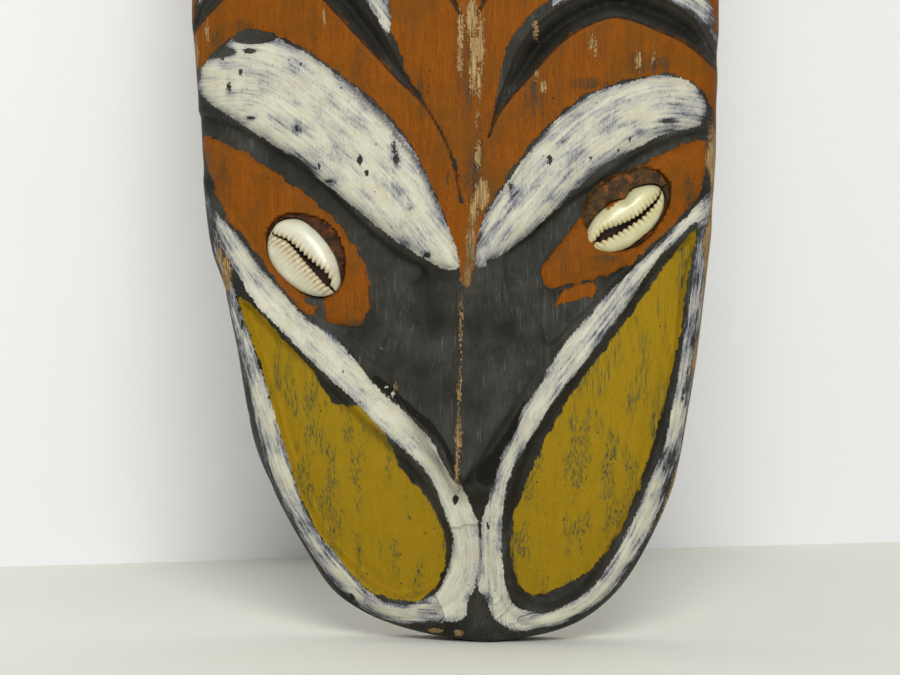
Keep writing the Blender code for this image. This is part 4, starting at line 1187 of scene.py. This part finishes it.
# Each cross-section is a low dome over the belly and a deeper one under it. The slit parts the
# belly: both lips roll down into it, the outer one with short teeth and the inner one with
# long fine folds. The dent pushes part of the outline in.
def makeShellMesh(name, eye):
    along = -np.cos(np.linspace(0.1, np.pi - 0.1, shell["rows"]))[:, None]
    s = along * shell["length"] / 2
    path = curveThrough(eye["slit"])
    middle = np.interp(s, path[:, 0], path[:, 1])
    opening = np.interp(s, path[:, 0], path[:, 2])
    width = shell["width"] / 2 * shellWidth(along, eye)
    halfOuter, halfInner = width * eye["outer"], width * eye["inner"]
    middle = np.clip(middle, -0.6 * halfInner, 0.6 * halfOuter)
    opening = np.minimum(opening, 0.25 * width)

    # Columns crowd towards the slit and towards the outline
    u = np.linspace(1.0, 0.0, shell["bellyColumns"] // 2)
    spread = np.sin(np.pi / 2 * u**1.4)
    outerLip = middle + opening + (halfOuter - middle - opening) * spread
    innerLip = middle - opening - (halfInner + middle - opening) * spread[::-1]
    slitFloor = middle + opening * np.linspace(0.72, -0.72, 8)
    y = np.concatenate([outerLip, slitFloor, innerLip], axis=1)
    fromSlit = np.maximum(np.abs(y - middle) - opening, 0.0)
    onOuter = y > middle
    share = np.abs(y) / np.where(y > 0, halfOuter, halfInner)
    ends = (1.0 - along**4) ** 0.5
    bulge = (1.0 - np.clip(share, 0.0, 1.0) ** 2.6) ** 0.55
    dome = shell["belly"] * ends * bulge

    share = s / shell["toothed"]
    tooth = 0.5 + 0.5 * np.cos(2 * np.pi * shell["teeth"] * (share + 0.010 * y))
    fold = 0.5 + 0.5 * np.cos(2 * np.pi * shell["folds"] * (share - 0.008 * y) + 0.6)
    wave = np.where(onOuter, tooth, fold)
    fromEnds = smooth(0.98, 0.84, np.abs(along))
    outerReach, innerReach, outerHigh, innerHigh = eye["folds"]
    reach = np.exp(-((fromSlit / np.where(onOuter, outerReach, innerReach)) ** 2))
    ridge = np.where(onOuter, outerHigh, innerHigh) * (wave - 0.5) * reach * fromEnds
    z = dome - shell["lip"] * (1.0 - pillow(fromSlit, 1.9)) + ridge
    inFloor = np.zeros(y.shape, bool)
    inFloor[:, outerLip.shape[1]:outerLip.shape[1] + slitFloor.shape[1]] = True
    z = np.where(inFloor, np.maximum(dome - shell["slitDeep"], -0.3 * shell["back"]), z)
    # The teeth also reach over the opening, and the finer folds do so less
    over = np.where(onOuter, 0.55, 0.3) * (wave - 0.4) * smooth(0.9, 0.0, fromSlit)
    y = y - np.sign(y - middle) * over * fromEnds * np.minimum(1.0, opening / 0.5) * ~inFloor

    under = np.linspace(0.0, np.pi, shell["backColumns"] + 2)[1:-1]
    backY = np.where(under < np.pi / 2, -halfInner, -halfOuter) * np.cos(under)
    backZ = -shell["back"] * ends * np.sin(under) ** 0.9
    allY = np.concatenate([y, backY], axis=1)
    allZ = np.concatenate([z, backZ], axis=1)
    allS = np.repeat(s, allY.shape[1], axis=1)
    dentAt, dentWide, dentDeep = eye["dent"]
    inDent = np.exp(-(((allS - dentAt) / dentWide) ** 2)) * smooth(0.25, 1.0, -allY / halfInner)
    allY = allY + dentDeep * inDent
    grid = onEye(eye, np.stack([allS, allY, allZ - shell["sunk"]], axis=-1))
    mesh = tubeMesh(name, grid)
    plain = ((0, 0), (0, backY.shape[1]))
    addAttribute(mesh, "fold", np.pad((1.0 - wave) * reach * fromEnds, plain))
    addAttribute(mesh, "inSlit", np.pad(np.maximum(inFloor, smooth(0.3, 0.0, fromSlit)), plain))
    addAttribute(mesh, "lipNear", np.pad(np.exp(-((fromSlit / 2.4) ** 2)), plain))
    addAttribute(mesh, "local", np.stack([allS, allY, allZ], axis=-1))
    return mesh


# Cream glaze with ochre in the folds, a slit painted near black as the shade of its opening, and
# painted shadow on the shell's lowest parts; paint has slopped over part of the rim
def makeShellMaterial(name, look):
    material, tree, shader = newMaterial(name)
    place = millimetres(tree)
    parts = newNode(tree, "SeparateXYZ", {0: attribute(tree, "local", "Vector")})
    cloudy = noise(tree, place, 0.22, 3.0, 0.55)
    colour = mixColour(tree, fade(tree, cloudy, 0.35, 0.65), look["cream"], look["shade"])
    fold = calc(tree, "MULTIPLY", attribute(tree, "fold"), 1.35, clamp=True)
    fold = times(tree, fold, fade(tree, noise(tree, place, 0.7, 2.0), 0.2, 0.58))
    colour = mixColour(tree, fold, colour, look["ochre"])
    specks = fade(tree, noise(tree, place, 2.6, 2.0, 0.5), 0.68, 0.76)
    colour = mixColour(tree, times(tree, specks, 0.35), colour, look["ochre"])
    lip = times(tree, attribute(tree, "lipNear"), 0.22)
    colour = mixColour(tree, lip, colour, look["ochre"])
    # Painted shade: the slit near black, as its opening would look
    dark = fade(tree, attribute(tree, "inSlit"), 0.45, 0.95)
    colour = mixColour(tree, dark, colour, look["slit"])
    # Ochre paint slopped over a flank, near the middle of the shell's length
    ragged = swung(tree, noise(tree, place, 0.8, 3.0), 1.6)
    fromMiddle = calc(tree, "ABSOLUTE", calc(tree, "ADD", parts.outputs["X"], 1.5))
    for low, side in look["slops"]:
        depth = calc(tree, "MULTIPLY_ADD", parts.outputs["Y"], side, ragged)
        flank = fade(tree, depth, low - 0.15, low + 0.15)
        slop = times(tree, flank, fade(tree, fromMiddle, 5.2, 4.0))
        colour = mixColour(tree, slop, colour, look["paint"])
    sunk = fade(tree, calc(tree, "MULTIPLY_ADD", ragged, 0.25, parts.outputs["Z"]), -0.1, -1.2)
    colour = mixColour(tree, sunk, colour, look["shadow"])
    tree.links.new(colour, shader.inputs["Base Color"])
    rough = calc(tree, "MULTIPLY_ADD", dark, 0.4, calc(tree, "MULTIPLY_ADD", cloudy, 0.3, 0.2))
    tree.links.new(rough, shader.inputs["Roughness"])
    shader.inputs["Coat Weight"].default_value = shell["coat"]
    shader.inputs["Coat Roughness"].default_value = shell["coatRough"]
    addBump(tree, shader, noise(tree, place, 1.1, 3.0, 0.5), 0.12 * mm, 0.6)
    return material


# The slit colour is painted shade in each shell's opening, and the shadow colour is painted shadow
# on its lowest parts
shellLooks = {
    "left": {
        "cream": (0.70, 0.68, 0.54),
        "shade": (0.61, 0.585, 0.43),
        "ochre": (0.36, 0.25, 0.095),
        "slit": (0.030, 0.010, 0.004),
        "shadow": (0.030, 0.012, 0.004),
        "slops": [],
    },
    "right": {
        "cream": (0.70, 0.67, 0.42),
        "shade": (0.60, 0.57, 0.32),
        "ochre": (0.38, 0.28, 0.09),
        "slit": (0.026, 0.009, 0.004),
        "shadow": (0.030, 0.012, 0.004),
        "paint": (0.290, 0.080, 0.012),
        "slops": [(4.6, -1.0), (7.1, 1.0)],
    },
}

for side, eye in eyes.items():
    material = makeShellMaterial(side + "ShellGlaze", shellLooks[side])
    mesh = makeShellMesh(side + "Shell", eye)
    addPiece(side + "Shell", mesh, material, side + "_cowrie")
print("cowries set in the eyes")


putty = {
    "overlap": 1.05,
    "level": -0.35,
    "climb": 0.55,
    "lumps": 0.32,
    "shellGap": 0.25,
    "underGap": 0.3,
    "rings": 48,
    "spokes": 200,
    "specular": 0.2,
}


# The bed is a lumpy closed dish. Its outline is the pocket's own oval, smeared a little over the
# pocket's edge; its top lies level with the face, dips under the shell by the shell's own back,
# and its underside follows the pocket's bowl.
def makePuttyMesh(name, eye, seed):
    turn = np.linspace(0.0, 2 * np.pi, putty["spokes"], endpoint=False)[None, :]
    halfLong, halfWide = board["pocketHalf"]
    angle = np.arctan2(halfWide * np.sin(turn), halfLong * np.cos(turn))
    reach = 1.0 / (1.0 + board["pocketWander"] * np.sin(3.0 * angle + eye["turn"]))

    def ringAt(share):
        s = halfLong * reach * share * np.cos(turn) + eye["pocketShift"][0]
        return s, halfWide * reach * share * np.sin(turn) + eye["pocketShift"][1]

    share = np.linspace(0.0, 1.0, putty["rings"])[1:, None] ** 0.8
    ragged = 1.0 + 0.03 * lumps(4.0 * np.cos(turn), 4.0 * np.sin(turn), 1.1, seed + 2)
    s, y = ringAt(share * (1.0 + (putty["overlap"] * ragged - 1.0) * smooth(0.8, 1.0, share)))
    along = np.clip(s / (shell["length"] / 2 + 0.2), -1.0, 1.0)
    half = shell["width"] / 2 * shellWidth(along, eye)
    half = half * np.where(y > 0, eye["outer"], eye["inner"]) + putty["shellGap"]
    dentAt, dentWide, dentDeep = eye["dent"]
    half = half - np.where(y < 0, dentDeep * np.exp(-(((s - dentAt) / dentWide) ** 2)), 0.0)
    inside = np.clip(1.0 - (y / half) ** 2, 0.0, 1.0)
    bumpy = lumps(s, y, 2.6, seed) + 0.6 * lumps(s, y, 1.0, seed + 1)
    z = putty["level"] + putty["lumps"] * bumpy
    z = z + putty["climb"] * smooth(1.0, 0.75, share) - 1.5 * smooth(0.9, 1.0, share)
    shellBack = shell["back"] * (1.0 - along**4) ** 0.5 * inside**0.45
    belowShell = -shell["sunk"] - putty["underGap"] - shellBack
    z = np.where(inside > 0.0, np.minimum(z, belowShell), z)
    down = np.array([0.95, 0.9, 0.8, 0.55, 0.2])[:, None]
    sDown, yDown = ringAt(down)
    zDown = -0.96 * board["pocketDeep"] * np.sqrt(1.0 - (0.98 * down) ** 2)
    rise = np.stack([s, y, z], axis=-1)
    fall = np.stack([sDown, yDown, np.broadcast_to(zDown, sDown.shape)], axis=-1)
    return tubeMesh(name, onEye(eye, np.concatenate([rise, fall])), flip=True)


# Dark resin, brown where it is thin, with ochre paint smeared over one side of it
def makePuttyMaterial(name, look):
    material, tree, shader = newMaterial(name)
    place = millimetres(tree)
    cloudy = noise(tree, place, 0.5, 4.0, 0.65)
    colour = mixColour(tree, fade(tree, cloudy, 0.38, 0.62), look["dark"], look["light"])
    grit = fade(tree, noise(tree, place, 2.2, 2.0, 0.6), 0.62, 0.75)
    colour = mixColour(tree, times(tree, grit, 0.5), colour, look["grit"])
    smear = fade(tree, noise(tree, place, 0.33, 3.0, 0.6), look["smeared"], look["smeared"] + 0.05)
    colour = mixColour(tree, smear, colour, look["paint"])
    tree.links.new(colour, shader.inputs["Base Color"])
    tree.links.new(calc(tree, "MULTIPLY_ADD", cloudy, 0.4, 0.3), shader.inputs["Roughness"])
    shader.inputs["Specular IOR Level"].default_value = putty["specular"]
    addBump(tree, shader, noise(tree, place, 1.6, 4.0, 0.65), 0.5 * mm, 0.8)
    return material


puttyLooks = {
    "left": {
        "dark": (0.020, 0.007, 0.003),
        "light": (0.085, 0.026, 0.005),
        "grit": (0.120, 0.055, 0.018),
        "paint": (0.170, 0.050, 0.006),
        "smeared": 0.60,
    },
    "right": {
        "dark": (0.030, 0.017, 0.007),
        "light": (0.090, 0.045, 0.011),
        "grit": (0.130, 0.085, 0.030),
        "paint": (0.200, 0.062, 0.007),
        "smeared": 0.57,
    },
}

for seed, (side, eye) in enumerate(eyes.items()):
    material = makePuttyMaterial(side + "EyePutty", puttyLooks[side])
    mesh = makePuttyMesh(side + "Putty", eye, 40 + 2 * seed)
    addPiece(side + "Putty", mesh, material, side + "_eye_putty")
print("shells bedded in resin")


steel = {"dark": (0.30, 0.29, 0.27), "light": (0.56, 0.54, 0.50), "rust": (0.115, 0.045, 0.016)}


# The hanger's plate and nails keep their own shape: dull brushed steel with rust in patches
def makeSteelMaterial():
    material, tree, shader = newMaterial("hangerSteel")
    place = millimetres(tree)
    brushed = noise(tree, stretched(tree, place, (0.06, 1.0, 1.0)), 5.0, 3.0, 0.6)
    patches = noise(tree, place, 0.35, 4.0, 0.65)
    rust = fade(tree, patches, 0.52, 0.64)
    colour = mixColour(tree, brushed, steel["dark"], steel["light"])
    colour = mixColour(tree, rust, colour, steel["rust"])
    tree.links.new(colour, shader.inputs["Base Color"])
    tree.links.new(calc(tree, "SUBTRACT", 1.0, rust), shader.inputs["Metallic"])
    rough = calc(tree, "MULTIPLY_ADD", rust, 0.4, calc(tree, "MULTIPLY_ADD", brushed, 0.25, 0.28))
    tree.links.new(rough, shader.inputs["Roughness"])
    height = calc(tree, "MULTIPLY_ADD", rust, 0.4, times(tree, brushed, 0.3))
    addBump(tree, shader, height, 0.12 * mm, 0.7)
    return material


steelMaterial = makeSteelMaterial()
for node in ("hanger_plate", "left_hanger_nail", "right_hanger_nail"):
    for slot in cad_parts[node].material_slots:
        slot.material = steelMaterial
print("hanger finished")


studio = {
    "floorAt": (chinZ + chinUp) * mm,
    "wallAt": 0.172,
    "wallTurn": 17.0,
    "wallLean": 15.0,
    "reach": 4.0,
    "wall": (0.940, 0.945, 0.970),
    "floor": (0.830, 0.838, 0.765),
    "mottling": 0.965,
    "rough": 0.85,
    "air": (0.97, 0.985, 1.0),
    "airStrength": 0.27,
    "light": {"at": (0.19, -1.40, 0.60), "size": 0.65, "watts": 18.4, "tint": (1.0, 0.995, 0.98)},
    "lens": 148.2,
    "sensor": 36.0,
    "distance": 1.0,
    "azimuth": 5.5,
    "elevation": 4.5,
    "aim": (-0.004, -0.030, -0.2370),
}


# A pale flat sheet with these four corners and faint mottling; with onlyFront, it is clear
# from behind
def makeSheet(name, corners, colour, onlyFront):
    mesh = bpy.data.meshes.new(name)
    mesh.from_pydata([Vector(corner) for corner in corners], [], [(0, 1, 2, 3)])
    material, tree, shader = newMaterial(name)
    mottled = noise(tree, newNode(tree, "TexCoord").outputs["Object"], 3.0, 3.0, 0.5)
    darker = tuple(studio["mottling"] * channel for channel in colour)
    pale = mixColour(tree, fade(tree, mottled, 0.3, 0.7), darker, colour)
    tree.links.new(pale, shader.inputs["Base Color"])
    shader.inputs["Roughness"].default_value = studio["rough"]
    if onlyFront:
        clear = newNode(tree, "BsdfTransparent").outputs[0]
        back = newNode(tree, "NewGeometry").outputs["Backfacing"]
        mixed = newNode(tree, "MixShader", {0: back, 1: shader.outputs[0], 2: clear})
        tree.links.new(mixed.outputs[0], tree.nodes["Material Output"].inputs["Surface"])
    mesh.materials.append(material)
    putInScene(name, mesh)


# The wall is turned about the upright and leans forward, both about the line under the mask
reach, low, back = studio["reach"], studio["floorAt"], studio["wallAt"]
slope = math.tan(math.radians(studio["wallTurn"])) * reach
lean = math.tan(math.radians(studio["wallLean"])) * reach
floorCorners = [(-reach, -reach), (reach, -reach), (reach, reach), (-reach, reach)]
makeSheet("floor", [(*corner, low) for corner in floorCorners], studio["floor"], False)
wallCorners = [
    (-reach, back - slope, low), (reach, back + slope, low),
    (reach, back + slope - lean, low + reach), (-reach, back - slope - lean, low + reach),
]
makeSheet("wall", wallCorners, studio["wall"], True)

world = bpy.data.worlds.new("studioAir")
bpy.context.scene.world = world
world.use_nodes = True
air = world.node_tree.nodes["Background"]
air.inputs["Color"].default_value = (*studio["air"], 1.0)
air.inputs["Strength"].default_value = studio["airStrength"]
aim = Vector(studio["aim"])
lamp = bpy.data.lights.new("keyLight", "AREA")
lamp.shape = "DISK"
lamp.size = studio["light"]["size"]
lamp.energy = studio["light"]["watts"]
lamp.color = studio["light"]["tint"]
holder = putInScene("keyLight", lamp)
holder.location = studio["light"]["at"]
holder.rotation_euler = (aim - holder.location).to_track_quat("-Z", "Y").to_euler()

azimuth, elevation = math.radians(studio["azimuth"]), math.radians(studio["elevation"])
level = math.cos(elevation)
away = Vector((math.sin(azimuth) * level, -math.cos(azimuth) * level, math.sin(elevation)))
cameraData = bpy.data.cameras.new("camera")
cameraData.lens = studio["lens"]
cameraData.sensor_width = studio["sensor"]
camera = putInScene("camera", cameraData)
camera.location = aim + away * studio["distance"]
camera.rotation_euler = (-away).to_track_quat("-Z", "Y").to_euler()
bpy.context.scene.camera = camera
bpy.context.scene.view_settings.view_transform = "Standard"
print("stage, lights and camera ready")
